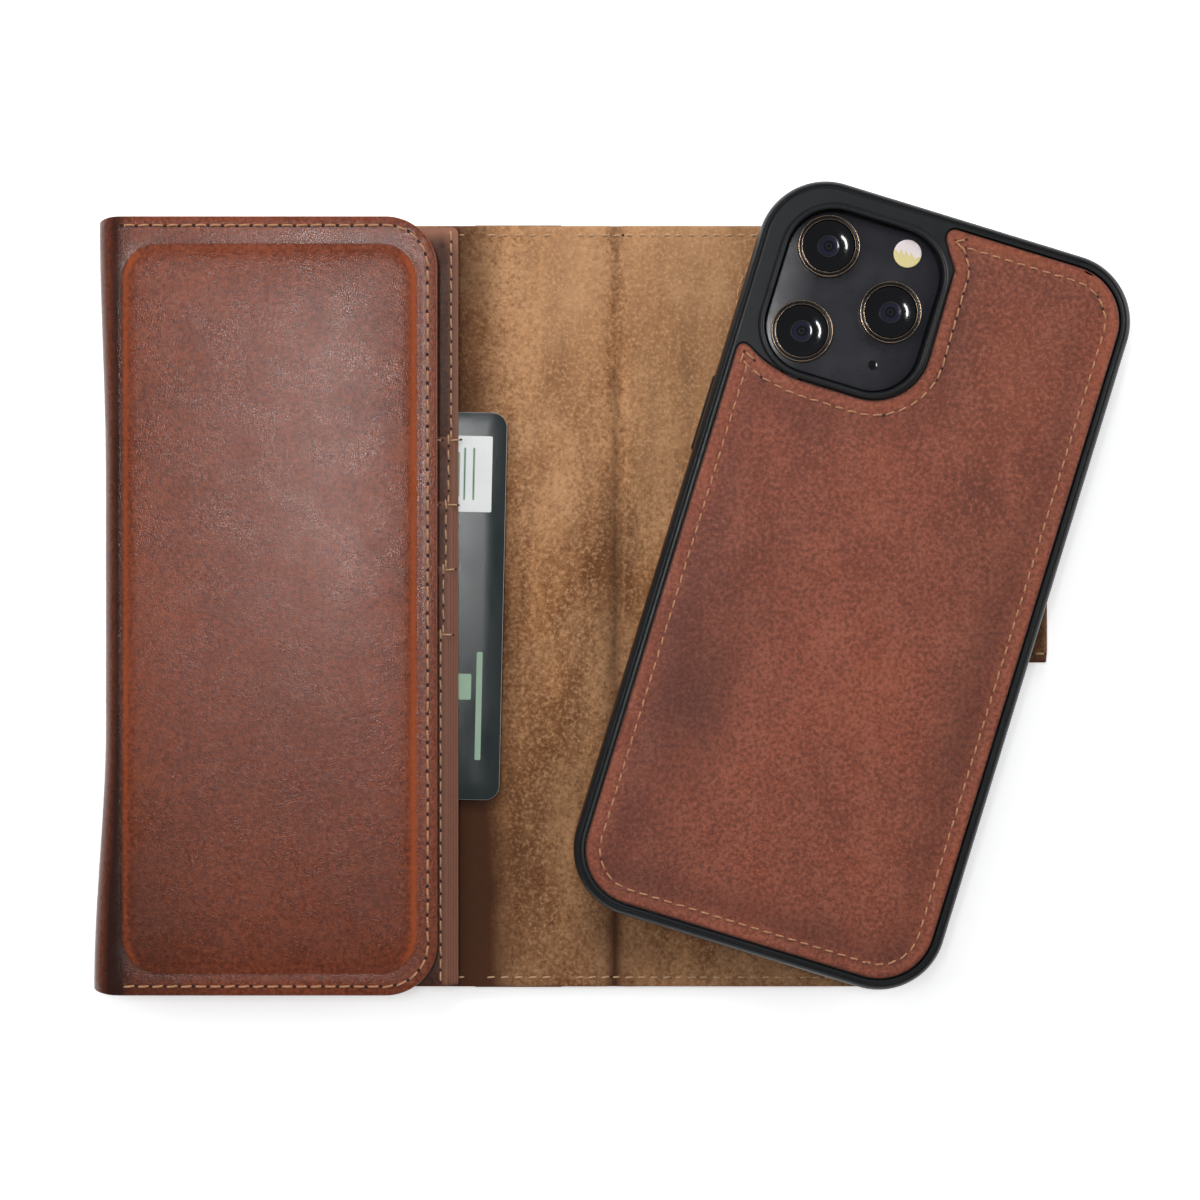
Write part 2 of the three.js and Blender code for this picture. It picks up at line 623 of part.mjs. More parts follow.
const wallet = new THREE.Group();
addBackPanel(wallet);
addSpine(wallet);
addFrontPanel(wallet);
addCard(wallet);
addEdgeFold(wallet);
addFlap(wallet);
addStrap(wallet);

const snapCase = new THREE.Group();
snapCase.position.set(CASE_CENTRE.x, CASE_CENTRE.y, 0);
snapCase.rotation.z = CASE_TURN;
addSnapCase(snapCase);
addPhone(snapCase);
wallet.add(snapCase);

const box = new THREE.Box3().setFromObject(wallet, true);
const centre = box.getCenter(new THREE.Vector3());
wallet.position.set(-centre.x, -centre.y, -box.min.z);

export default wallet;
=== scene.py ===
"""Looks of a tri-fold leather phone wallet that lies open with its snap case askew on the back panel.

Lengths are millimetres while a shape is worked out, and metres once it is a mesh.
"""

import json
import logging
import math
from collections.abc import Callable, Sequence
from dataclasses import dataclass
from enum import Enum

import bpy
import numpy as np
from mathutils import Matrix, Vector
from mathutils.geometry import delaunay_2d_cdt


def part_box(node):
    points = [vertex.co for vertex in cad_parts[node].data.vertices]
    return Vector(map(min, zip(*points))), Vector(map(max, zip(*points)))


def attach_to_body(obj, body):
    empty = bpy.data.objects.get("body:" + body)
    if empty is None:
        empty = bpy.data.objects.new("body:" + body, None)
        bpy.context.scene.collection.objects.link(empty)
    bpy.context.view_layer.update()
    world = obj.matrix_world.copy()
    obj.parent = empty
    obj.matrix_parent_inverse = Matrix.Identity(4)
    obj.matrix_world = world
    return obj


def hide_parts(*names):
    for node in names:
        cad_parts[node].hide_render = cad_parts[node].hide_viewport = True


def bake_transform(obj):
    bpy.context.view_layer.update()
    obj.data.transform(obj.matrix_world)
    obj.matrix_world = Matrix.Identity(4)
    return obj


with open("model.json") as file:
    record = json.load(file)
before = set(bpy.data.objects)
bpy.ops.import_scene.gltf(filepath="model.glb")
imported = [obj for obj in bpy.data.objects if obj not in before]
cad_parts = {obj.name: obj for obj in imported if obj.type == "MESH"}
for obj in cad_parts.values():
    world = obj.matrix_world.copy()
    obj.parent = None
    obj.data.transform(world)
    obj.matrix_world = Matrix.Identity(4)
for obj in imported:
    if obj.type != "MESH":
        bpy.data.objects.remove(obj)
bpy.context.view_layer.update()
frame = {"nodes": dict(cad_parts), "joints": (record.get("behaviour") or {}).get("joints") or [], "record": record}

MM = 0.001
Points = np.ndarray
Height = Callable[[Points], Points]
log = logging.getLogger("phone_wallet")


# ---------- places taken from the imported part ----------


@dataclass(frozen=True)
class Extent:
    """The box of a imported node, in millimetres."""

    x0: float
    x1: float
    y0: float
    y1: float
    z0: float
    z1: float


def extent(node: str) -> Extent:
    """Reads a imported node's box.

    Args:
        node: the node's name.

    Returns:
        Its lowest and highest coordinates in millimetres.
    """
    low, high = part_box(node)
    return Extent(low.x / MM, high.x / MM, low.y / MM, high.y / MM, low.z / MM, high.z / MM)


def joint(name: str) -> dict:
    """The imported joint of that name."""
    return next(entry for entry in frame["joints"] if entry["name"] == name)


class CaseFrame:
    """The snap case's own upright frame, turned as the case lies on the wallet."""

    def __init__(self) -> None:
        """Takes the centre from the phone body's box and the turn from the swing joint."""
        body = extent("phone_body")
        self.centre = np.array([(body.x0 + body.x1) / 2, (body.y0 + body.y1) / 2])
        self.turn = -math.radians(joint("case_swing")["range_deg"][1])

    def place(self, points: Points) -> Points:
        """Turns and moves points from the case's own frame to the row frame.

        Args:
            points: an array of points with two or three coordinates.

        Returns:
            The same points in the row frame.
        """
        moved = np.array(points, float)
        c, s = math.cos(self.turn), math.sin(self.turn)
        x, y = moved[:, 0].copy(), moved[:, 1].copy()
        moved[:, 0] = self.centre[0] + c * x - s * y
        moved[:, 1] = self.centre[1] + s * x + c * y
        return moved

    def centre_of(self, node: str) -> tuple[float, float]:
        """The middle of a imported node's box, in the case's own frame."""
        box = extent(node)
        x = (box.x0 + box.x1) / 2 - self.centre[0]
        y = (box.y0 + box.y1) / 2 - self.centre[1]
        c, s = math.cos(self.turn), math.sin(self.turn)
        return c * x + s * y, -s * x + c * y


# ---------- outlines ----------


def rounded_rect(
    x0: float,
    x1: float,
    y0: float,
    y1: float,
    radii: Sequence[float],
    step: float = 1.2,
) -> Points:
    """Points round a rectangle, anticlockwise from the lower left.

    Args:
        x0: left edge.
        x1: right edge.
        y0: lower edge.
        y1: upper edge.
        radii: corner radii at lower left, lower right, upper right and upper left.
        step: greatest distance between points.

    Returns:
        An array of points, two coordinates each.
    """
    bl, br, tr, tl = radii
    corners = [
        (x0 + bl, y0 + bl, bl, 180),
        (x1 - br, y0 + br, br, -90),
        (x1 - tr, y1 - tr, tr, 0),
        (x0 + tl, y1 - tl, tl, 90),
    ]
    turning: list[tuple[float, float]] = []
    for cx, cy, radius, start in corners:
        count = 1 if radius <= 0 else max(6, math.ceil(radius * math.pi / 2 / (step * 0.7)))
        for index in range(count + 1 if radius > 0 else 1):
            angle = math.radians(start + 90 * index / count)
            turning.append((cx + radius * math.cos(angle), cy + radius * math.sin(angle)))
    return densify(np.array(turning), step)


def densify(points: Points, step: float, closed: bool = True) -> Points:
    """Adds points so that none is further than step from the next.

    Args:
        points: the corners, in order.
        step: the greatest distance allowed.
        closed: whether the last point joins the first.

    Returns:
        The corners with the new points between them.
    """
    out: list[Points] = []
    last = len(points) if closed else len(points) - 1
    for index in range(last):
        a, b = points[index], points[(index + 1) % len(points)]
        count = max(1, math.ceil(float(np.linalg.norm(b - a)) / step))
        out.extend(a + (b - a) * k / count for k in range(count))
    if not closed:
        out.append(points[-1])
    return np.array(out)


def inset(outline: Points, distance: float) -> Points:
    """Moves an anticlockwise outline inwards.

    Args:
        outline: closed points, anticlockwise.
        distance: how far inwards; a negative value grows it.

    Returns:
        The moved points, one for each point given.
    """
    forward = np.roll(outline, -1, 0) - outline
    forward /= np.linalg.norm(forward, axis=1)[:, None]
    normal = np.stack([-forward[:, 1], forward[:, 0]], 1)
    before = np.roll(normal, 1, 0)
    middle = normal + before
    middle /= np.linalg.norm(middle, axis=1)[:, None]
    stretch = 1 / np.clip((middle * normal).sum(1), 0.35, 1)
    return outline + middle * (distance * stretch)[:, None]


def circle(cx: float, cy: float, radius: float, count: int = 64) -> Points:
    """Points round a circle, anticlockwise."""
    angle = np.linspace(0, 2 * math.pi, count, endpoint=False)
    return np.stack([cx + radius * np.cos(angle), cy + radius * np.sin(angle)], 1)


def inside(points: Points, outline: Points) -> Points:
    """Tells which points lie within a closed outline.

    Args:
        points: the points to test.
        outline: closed points.

    Returns:
        An array of truth values.
    """
    x, y = points[:, 0][:, None], points[:, 1][:, None]
    x0, y0 = outline[:, 0], outline[:, 1]
    x1, y1 = np.roll(x0, -1), np.roll(y0, -1)
    spans = (y0 > y) != (y1 > y)
    rise = np.where(y1 == y0, 1e-12, y1 - y0)
    return (spans & (x < (x1 - x0) * (y - y0) / rise + x0)).sum(1) % 2 == 1


def distance_to(points: Points, line: Points, closed: bool = True) -> Points:
    """Distance from each point to the nearest part of a line.

    Args:
        points: the points to measure from.
        line: the line's points.
        closed: whether the line's last point joins its first.

    Returns:
        One distance for each point.
    """
    a = line if closed else line[:-1]
    b = np.roll(line, -1, 0) if closed else line[1:]
    along = b - a
    length = (along**2).sum(1) + 1e-12
    best = np.full(len(points), 1e9)
    for start in range(0, len(points), 2000):
        p = points[start : start + 2000, None, :]
        t = np.clip(((p - a) * along).sum(2) / length, 0, 1)
        gap = p - (a + t[..., None] * along)
        best[start : start + 2000] = np.sqrt((gap**2).sum(2)).min(1)
    return best


def depth(points: Points, outline: Points) -> Points:
    """Distance inside a closed outline, negative outside it."""
    far = distance_to(points, outline)
    return np.where(inside(points, outline), far, -far)


def smooth(value: Points, low: float, high: float) -> Points:
    """Eases from 0 at low to 1 at high."""
    t = np.clip((np.asarray(value, float) - low) / (high - low), 0, 1)
    return t * t * (3 - 2 * t)


def ripple(points: Points, size: float, seed: float = 0.0) -> Points:
    """A gentle, repeatable unevenness.

    Args:
        points: where it is wanted.
        size: the length of the main waves, in millimetres.
        seed: shifts the pattern.

    Returns:
        Values from about -1 to 1.
    """
    x, y = points[:, 0] / size, points[:, 1] / size
    waves = np.sin(2.1 * x + 0.7 * y + seed) + np.sin(1.3 * y - 0.9 * x + 2.3 * seed + 1)
    waves += 0.6 * np.sin(3.7 * x - 2.9 * y + seed * 1.7) + 0.5 * np.sin(5.1 * y + 1.9 * x + seed)
    return waves / 3.1


# ---------- solids ----------


class Solid:
    """Gathers rings, walls and filled faces into one mesh."""

    def __init__(self) -> None:
        """Starts with nothing in it."""
        self.parts: list[Points] = []
        self.count = 0
        self.faces: list[tuple[int, ...]] = []
        self.finishes: list[int] = []

    def add(self, points: Points) -> Points:
        """Adds points and returns their numbers."""
        self.parts.append(np.asarray(points, float))
        numbers = np.arange(self.count, self.count + len(points))
        self.count += len(points)
        return numbers

    def ring(self, outline: Points, z: float | Points) -> Points:
        """Adds an outline at a height and returns the numbers of its points."""
        height = np.broadcast_to(np.asarray(z, float), (len(outline),))
        return self.add(np.column_stack([outline, height]))

    def wall(self, lower: Points, upper: Points, finish: int | Sequence[int] = 0) -> None:
        """Joins two rings with faces that look outwards.

        Args:
            lower: the ring that is lower, or further out on an upper side.
            upper: the ring that is higher, or further in on an upper side.
            finish: the number of the finish on these faces, or one number for each.
        """
        for index in range(len(lower)):
            following = (index + 1) % len(lower)
            self.faces.append((lower[index], lower[following], upper[following], upper[index]))
            self.finishes.append(finish if isinstance(finish, int) else finish[index])

    def all_points(self) -> Points:
        """Every point added so far."""
        return np.concatenate(self.parts)

    def fill(
        self,
        outer: Points,
        height: Height,
        holes: Sequence[Points] = (),
        guides: Sequence[Points] = (),
        columns: Points | None = None,
        grid: float = 2.6,
        up: bool = True,
        finish: int = 0,
    ) -> None:
        """Fills a ring with faces.

        Args:
            outer: numbers of the ring's points.
            height: gives the height of each new point.
            holes: numbers of the points of each ring left open.
            guides: closed lines that the faces' edges follow.
            columns: places in x where the faces' edges gather, for a fold.
            grid: distance between the new points.
            up: whether the faces look up.
            finish: the number of the finish on these faces.
        """
        known = self.all_points()
        rings = [outer, *holes]
        flat = [known[numbers][:, :2] for numbers in rings]
        edge = flat[0]
        fixed = np.concatenate([*flat, *guides])
        low, high = edge.min(0), edge.max(0)
        xs = np.linspace(low[0], high[0], max(2, int((high[0] - low[0]) / grid)))[1:-1]
        if columns is not None:
            xs = np.array([x for x in xs if np.abs(columns - x).min() > grid * 0.45])
            xs = np.sort(np.concatenate([xs, columns]))
        ys = np.linspace(low[1], high[1], max(2, int((high[1] - low[1]) / grid)))[1:-1]
        seeds = np.stack(np.meshgrid(xs, ys), -1).reshape(-1, 2)
        keep = inside(seeds, edge)
        for hole in flat[1:]:
            keep &= ~inside(seeds, hole)
        seeds = seeds[keep]
        near = np.concatenate(
            [
                np.sqrt(((seeds[k : k + 1000, None] - fixed[None]) ** 2).sum(2)).min(1)
                for k in range(0, len(seeds), 1000)
            ]
            or [np.zeros(0)]
        )
        seeds = seeds[near > 0.55]
        plan = np.concatenate([fixed, seeds])
        edges: list[tuple[int, int]] = []
        start = 0
        for line in [*flat, *guides]:
            size = len(line)
            edges.extend((start + k, start + (k + 1) % size) for k in range(size))
            start += size
        result = delaunay_2d_cdt([Vector(p) for p in plan], edges, [], 0, 1e-6)
        made = np.array([tuple(v) for v in result[0]])
        boundary = sum(len(line) for line in flat)
        rim_numbers = np.concatenate(rings)
        heights = height(made)
        numbers = np.empty(len(made), int)
        fresh = []
        for index, origins in enumerate(result[3]):
            rim = [o for o in origins if o < boundary]
            if rim:
                numbers[index] = rim_numbers[rim[0]]
            else:
                numbers[index] = self.count + len(fresh)
                fresh.append((*made[index], heights[index]))
        if fresh:
            self.add(np.array(fresh))
        triangles = np.array(result[2])
        middle = made[triangles].mean(1)
        wanted = inside(middle, edge)
        for hole in flat[1:]:
            wanted &= ~inside(middle, hole)
        for a, b, c in triangles[wanted]:
            pa, pb, pc = made[a], made[b], made[c]
            turn = (pb[0] - pa[0]) * (pc[1] - pa[1]) - (pb[1] - pa[1]) * (pc[0] - pa[0])
            if abs(turn) < 1e-12:
                continue
            face = (numbers[a], numbers[b], numbers[c])
            self.faces.append(face if (turn > 0) == up else face[::-1])
            self.finishes.append(finish)

    def object(
        self,
        name: str,
        finishes: Sequence[bpy.types.Material],
        reshape: Callable[[Points], Points] | None = None,
        tone: Callable[[Points], Points] | None = None,
        sharp: float = 38,
    ) -> bpy.types.Object:
        """Makes the mesh object.

        Args:
            name: the object's name.
            finishes: its materials, in the order of the finish numbers.
            reshape: moves the finished points, for a bend or a turn.
            tone: gives each point, before reshape, a shade that the finish reads.
            sharp: edges with a greater angle than this, in degrees, stay sharp.

        Returns:
            The object, at the origin.
        """
        points = self.all_points()
        shade = np.zeros(len(points)) if tone is None else tone(points)
        placed = points if reshape is None else reshape(points)
        mesh = bpy.data.meshes.new(name)
        faces = [tuple(int(n) for n in face) for face in self.faces]
        mesh.from_pydata([tuple(p) for p in placed * MM], [], faces)
        for material in finishes:
            mesh.materials.append(material)
        mesh.polygons.foreach_set("material_index", self.finishes)
        attribute = mesh.attributes.new("tone", "FLOAT", "POINT")
        attribute.data.foreach_set("value", np.asarray(shade, np.float32))
        mesh.validate()
        mesh.shade_smooth()
        mesh.set_sharp_from_angle(angle=math.radians(sharp))
        made = bpy.data.objects.new(name, mesh)
        bpy.context.scene.collection.objects.link(made)
        return made


class EdgeStyle(Enum):
    """How the cut edge of a flat piece is finished: list of (inset, drop) from the edge inwards."""

    ROUNDED = ((0.0, 0.34), (0.06, 0.17), (0.18, 0.06), (0.38, 0.0))
    SOFT = ((0.0, 0.24), (0.1, 0.1), (0.35, 0.02), (0.8, 0.0))
    THIN = ((0.0, 0.06), (0.05, 0.02), (0.14, 0.0))
    CUSHIONED = ((0.0, 0.5), (0.1, 0.26), (0.3, 0.1), (0.65, 0.02), (1.1, 0.0))


def plate(
    outline: Points,
    top: Height,
    bottom: Height,
    style: EdgeStyle,
    holes: Sequence[Points] = (),
    guides: Sequence[Points] = (),
    columns: Points | None = None,
    grid: float = 2.6,
    free: Callable[[Points], Points] | None = None,
    wall_finish: int = 1,
    under_finish: int = 0,
) -> Solid:
    """A flat closed piece with finished edges.

    Args:
        outline: its outer edge, anticlockwise.
        top: height of its upper face before the edge falls away.
        bottom: height of its lower face.
        style: how its edges are finished.
        holes: outlines of its openings, anticlockwise.
        guides: closed lines that the upper faces' edges follow.
        columns: places in x where the faces' edges gather, for a fold.
        grid: distance between inner points.
        free: says where the edge is free, from 0 at a hidden seam to 1 at a finished edge.
        wall_finish: finish number of the edge.
        under_finish: finish number of the lower face.

    Returns:
        The solid.
    """
    solid = Solid()

    def profile(line: Points, sign: float) -> tuple[Points, Points, Points]:
        """Rings from the lower edge over the rim; returns the bottom, first and last rings."""
        bottom_ring = solid.ring(inset(line, sign * 0.12), bottom(line) + 0.0)
        low_ring = solid.ring(line, bottom(line) + 0.15)
        freedom = np.ones(len(line)) if free is None else free(line)
        rings = []
        for distance, drop in style.value:
            moved = inset(line, sign * distance)
            rings.append(solid.ring(moved, top(moved) - drop * freedom))

        def join(lower: Points, upper: Points, finish: int | Sequence[int]) -> None:
            """Joins two rings so that the faces look away from the leather, also inside a hole."""
            solid.wall(*((lower, upper) if sign > 0 else (upper, lower)), finish)

        edge_finish = [wall_finish if share > 0.5 else 0 for share in freedom]
        join(bottom_ring, low_ring, edge_finish)
        join(low_ring, rings[0], edge_finish)
        for index, (lower, upper) in enumerate(zip(rings, rings[1:])):
            join(lower, upper, edge_finish if index == 0 else 0)
        return bottom_ring, rings[0], rings[-1]

    outer_bottom, _, outer_top = profile(outline, 1)
    hole_rings = [profile(hole, -1) for hole in holes]
    solid.fill(
        outer_top, top, [ring[2] for ring in hole_rings], guides, columns, grid, finish=0
    )
    solid.fill(
        outer_bottom, bottom, [ring[0] for ring in hole_rings], (), columns, grid * 1.6,
        up=False, finish=under_finish,
    )
    return solid


def level(z: float) -> Height:
    """A height that is the same everywhere."""
    return lambda points: np.full(len(points), float(z))


def spun(
    profile: Sequence[tuple[float, float, int]], centre: tuple[float, float], count: int = 64
) -> Solid:
    """Turns a profile round an upright axis.

    Args:
        profile: radius, height and finish number from the lower middle outwards and up to the top middle.
        centre: the axis in plan.
        count: steps round the turn.

    Returns:
        The closed solid.
    """
    solid = Solid()
    rings = [solid.ring(circle(*centre, radius, count), z) for radius, z, _ in profile]
    for index in range(len(rings) - 1):
        solid.wall(rings[index], rings[index + 1], profile[index + 1][2])
    solid.faces.append(tuple(rings[0][::-1]))
    solid.finishes.append(profile[0][2])
    solid.faces.append(tuple(rings[-1]))
    solid.finishes.append(profile[-1][2])
    return solid


# ---------- finishes ----------


def colour(red: int, green: int, blue: int) -> tuple[float, float, float, float]:
    """A display colour of 0 to 255 as the linear colour that shaders take."""
    linear = []
    for value in (red, green, blue):
        share = value / 255
        linear.append(share / 12.92 if share <= 0.04045 else ((share + 0.055) / 1.055) ** 2.4)
    return linear[0], linear[1], linear[2], 1.0


class Bench:
    """Lays out the nodes of one material."""

    def __init__(self, name: str, **surface: float | tuple) -> None:
        """Starts a material with values set on its surface shader.

        Args:
            name: the material's name.
            surface: the shader's sockets, with spaces written as underscores.
        """
        self.material = bpy.data.materials.new(name)
        self.material.use_nodes = True
        self.nodes = self.material.node_tree.nodes
        self.links = self.material.node_tree.links
        self.shader = self.nodes["Principled BSDF"]
        for key, value in surface.items():
            self.shader.inputs[key.replace("_", " ")].default_value = value

    def join(self, source: object, target: bpy.types.NodeSocket) -> None:
        """Links a socket, or sets a plain value."""
        if isinstance(source, bpy.types.NodeSocket):
            self.links.new(source, target)
        else:
            target.default_value = source

    def place(self, stretch: tuple = (1, 1, 1), turn: float = 0.0) -> bpy.types.NodeSocket:
        """Object coordinates, stretched and turned about z."""
        coordinates = self.nodes.new("ShaderNodeTexCoord")
        mapping = self.nodes.new("ShaderNodeMapping")
        mapping.inputs["Scale"].default_value = stretch
        mapping.inputs["Rotation"].default_value = (0, 0, turn)
        self.join(coordinates.outputs["Object"], mapping.inputs["Vector"])
        return mapping.outputs["Vector"]

    def noise(
        self,
        place: bpy.types.NodeSocket,
        size: float,
        detail: float = 4,
        rough: float = 0.55,
        twist: float = 0.0,
    ) -> bpy.types.NodeSocket:
        """Cloudy noise.

        Args:
            place: the coordinates it reads.
            size: the clouds' size in millimetres.
            detail: how many finer layers it has.
            rough: how strong they are.
            twist: how much it is distorted.

        Returns:
            A value from about 0.3 to 0.7.
        """
        node = self.nodes.new("ShaderNodeTexNoise")
        node.inputs["Scale"].default_value = 1 / (size * MM)
        node.inputs["Detail"].default_value = detail
        node.inputs["Roughness"].default_value = rough
        node.inputs["Distortion"].default_value = twist
        self.join(place, node.inputs["Vector"])
        return node.outputs["Fac"]

    def cells(self, place: bpy.types.NodeSocket, size: float) -> bpy.types.NodeSocket:
        """Cells of the given size in millimetres, as the distance to their edge."""
        node = self.nodes.new("ShaderNodeTexVoronoi")
        node.feature = "DISTANCE_TO_EDGE"
        node.inputs["Scale"].default_value = 1 / (size * MM)
        self.join(place, node.inputs["Vector"])
        return node.outputs["Distance"]

    def span(
        self, value: object, low: float, high: float, to_low: float = 0, to_high: float = 1
    ) -> bpy.types.NodeSocket:
        """Maps a value's range on another, clamped."""
        node = self.nodes.new("ShaderNodeMapRange")
        node.inputs["From Min"].default_value = low
        node.inputs["From Max"].default_value = high
        node.inputs["To Min"].default_value = to_low
        node.inputs["To Max"].default_value = to_high
        self.join(value, node.inputs["Value"])
        return node.outputs["Result"]

    def blend(self, share: object, first: object, second: object) -> bpy.types.NodeSocket:
        """Mixes two colours."""
        node = self.nodes.new("ShaderNodeMix")
        node.data_type = "RGBA"
        self.join(share, node.inputs[0])
        self.join(first, node.inputs[6])
        self.join(second, node.inputs[7])
        return node.outputs[2]

    def tone(self) -> bpy.types.NodeSocket:
        """The shade stored on a piece's points."""
        node = self.nodes.new("ShaderNodeAttribute")
        node.attribute_name = "tone"
        return node.outputs["Fac"]

    def relief(
        self, height: object, depth_mm: float, strength: float = 1.0, under: object = None
    ) -> bpy.types.NodeSocket:
        """Turns a height into a bump.

        Args:
            height: the height, about 0 to 1.
            depth_mm: what a height of 1 stands for.
            strength: its share.
            under: a bump below this one.

        Returns:
            The normal.
        """
        node = self.nodes.new("ShaderNodeBump")
        node.inputs["Strength"].default_value = strength
        node.inputs["Distance"].default_value = depth_mm * MM
        self.join(height, node.inputs["Height"])
        if under is not None:
            self.join(under, node.inputs["Normal"])
        return node.outputs["Normal"]

    def dress(
        self, base: object = None, roughness: object = None, normal: object = None
    ) -> bpy.types.Material:
        """Joins the results to the shader and returns the material."""
        for name, source in (("Base Color", base), ("Roughness", roughness), ("Normal", normal)):
            if source is not None:
                self.join(source, self.shader.inputs[name])
        return self.material


@dataclass(frozen=True)
class GrainedLeather:
    """Smooth waxed leather with a fine grain, burnished where it folds, with painted highlights and painted shade
    taken from each piece's tone.
    """

    name: str
    base: tuple[int, int, int] = (122, 58, 35)
    pale: tuple[int, int, int] = (142, 72, 44)
    deep: tuple[int, int, int] = (86, 38, 22)
    # The darker of the two colours below serves real burnish and painted shade, the paler one real pale tone and
    # painted highlights; each piece's tone blends towards them.
    burnish_and_shade: tuple[int, int, int] = (46, 21, 13)
    pale_and_highlight: tuple[int, int, int] = (170, 82, 42)
    grain_mm: float = 0.5
    grain_depth_mm: float = 0.02
    roughness: float = 0.26
    coat: float = 0.12
    streak: tuple[float, float, float] = (1.0, 1.0, 1.0)
    turn: float = 0.0
    crease: float = 0.04
    mottle: float = 0.35

    def make(self) -> bpy.types.Material:
        """Builds the material.

        Returns:
            The material.
        """
        bench = Bench(
            self.name, Coat_Weight=self.coat, Coat_Roughness=0.2, Specular_IOR_Level=0.45
        )
        place = bench.place()
        along = bench.place(self.streak, self.turn)
        clouds = bench.noise(along, 26, 5, 0.6, 0.4)
        speckle = bench.noise(place, 0.9, 3, 0.7)
        shaded = bench.span(clouds, 0.34, 0.64, self.mottle, 0)
        ground = bench.blend(shaded, colour(*self.base), colour(*self.deep))
        fine = bench.span(bench.noise(along, 7, 5, 0.65), 0.42, 0.72, 0, self.mottle * 0.8)
        ground = bench.blend(fine, ground, colour(*self.pale))
        ground = bench.blend(bench.span(speckle, 0.5, 0.62, 0, 0.75), ground, colour(*self.deep))
        ground = bench.blend(bench.span(speckle, 0.48, 0.36, 0, 0.75), ground, colour(*self.pale))
        tone = bench.tone()
        # Painted light: a positive tone is a painted highlight towards the pale colour, a negative tone is painted
        # shade towards the dark colour, besides real burnish and pale wear.
        ground = bench.blend(bench.span(tone, 0, 1), ground, colour(*self.pale_and_highlight))
        ground = bench.blend(bench.span(tone, 0, -1), ground, colour(*self.burnish_and_shade))
        pores = bench.cells(bench.place((1, 1, 1), 0.3), self.grain_mm)
        wrinkle = bench.noise(along, 2.6, 6, 0.62, 0.7)
        grain = bench.relief(bench.span(pores, 0.0, 0.22), self.grain_depth_mm, 0.8)
        grain = bench.relief(speckle, 0.05, 0.8, grain)
        grain = bench.relief(wrinkle, self.crease, 0.5, grain)
        gloss = bench.span(bench.noise(place, 9, 4), 0.3, 0.7, self.roughness - 0.07, self.roughness + 0.09)
        return bench.dress(ground, gloss, grain)


@dataclass(frozen=True)
class CutEdge:
    """The painted and burnished edge of a leather piece."""

    name: str
    tint: tuple[int, int, int] = (96, 72, 60)
    fibre: tuple[int, int, int] = (132, 108, 94)

    def make(self) -> bpy.types.Material:
        """Builds the material.

        Returns:
            The material.
        """
        bench = Bench(self.name)
        fibres = bench.noise(bench.place((1, 1, 6)), 0.9, 5, 0.7)
        ground = bench.blend(bench.span(fibres, 0.4, 0.7), colour(*self.tint), colour(*self.fibre))
        return bench.dress(ground, bench.span(fibres, 0.3, 0.7, 0.5, 0.75), bench.relief(fibres, 0.12))


@dataclass(frozen=True)
class BrushedSuede:
    """Suede with a brushed nap, banded where it was stroked."""

    name: str
    base: tuple[int, int, int] = (168, 118, 77)
    pale: tuple[int, int, int] = (212, 164, 120)
    deep: tuple[int, int, int] = (120, 77, 48)
    worn_and_shade: tuple[int, int, int] = (74, 44, 28)

    def make(self) -> bpy.types.Material:
        """Builds the material.

        Returns:
            The material.
        """
        bench = Bench(
            self.name, Sheen_Weight=0.25, Sheen_Roughness=0.45,
            Sheen_Tint=colour(226, 190, 156), Specular_IOR_Level=0.25,
        )
        bands = bench.noise(bench.place((1, 0.16, 1), 0.03), 6, 4, 0.6, 0.3)
        clouds = bench.noise(bench.place((1, 0.6, 1), 0.4), 17, 5, 0.6)
        nap = bench.noise(bench.place(), 0.8, 3, 0.75)
        tufts = bench.noise(bench.place((1, 0.7, 1)), 1.7, 5, 0.75)
        ground = bench.blend(bench.span(bands, 0.38, 0.64), colour(*self.deep), colour(*self.base))
        ground = bench.blend(
            bench.span(clouds, 0.42, 0.72, 0, 0.7), ground, colour(*self.pale)
        )
        ground = bench.blend(bench.span(tufts, 0.48, 0.66, 0, 0.6), ground, colour(*self.deep))
        ground = bench.blend(bench.span(nap, 0.5, 0.68, 0, 0.75), ground, colour(*self.pale))
        ground = bench.blend(bench.span(nap, 0.46, 0.34, 0, 0.5), ground, colour(*self.worn_and_shade))
        tone = bench.tone()
        # Painted light: a positive tone lightens towards pale as painted light at the head; a negative tone
        # darkens towards the worn colour as painted shade at the foot, in the crease, beside the front fold and on
        # the strap beneath the case, and as real wear on the strap's edges.
        ground = bench.blend(bench.span(tone, 0, 1), ground, colour(*self.pale))
        ground = bench.blend(bench.span(tone, 0, -1), ground, colour(*self.worn_and_shade))
        pile = bench.relief(nap, 0.16, 0.8)
        pile = bench.relief(tufts, 0.3, 0.5, pile)
        return bench.dress(ground, bench.span(tufts, 0.3, 0.7, 0.82, 0.96), pile)


@dataclass(frozen=True)
class Moulded:
    """Moulded rubber, plastic or glass-fibre with a faint texture."""

    name: str
    base: tuple[int, int, int]
    pale: tuple[int, int, int]
    roughness: float
    metallic: float = 0.0
    texture_mm: float = 0.35
    texture_depth_mm: float = 0.01
    coat: float = 0.0
    streak: tuple[float, float, float] = (1.0, 1.0, 1.0)

    def make(self) -> bpy.types.Material:
        """Builds the material.

        Returns:
            The material.
        """
        bench = Bench(self.name, Metallic=self.metallic, Coat_Weight=self.coat, Coat_Roughness=0.12)
        broad = bench.noise(bench.place(self.streak), 14, 4)
        fine = bench.noise(bench.place(self.streak), self.texture_mm, 3, 0.6)
        ground = bench.blend(bench.span(broad, 0.35, 0.7), colour(*self.base), colour(*self.pale))
        smears = bench.noise(bench.place(self.streak), 4, 5)
        gloss = bench.span(smears, 0.3, 0.7, self.roughness - 0.05, self.roughness + 0.07)
        return bench.dress(ground, gloss, bench.relief(fine, self.texture_depth_mm))


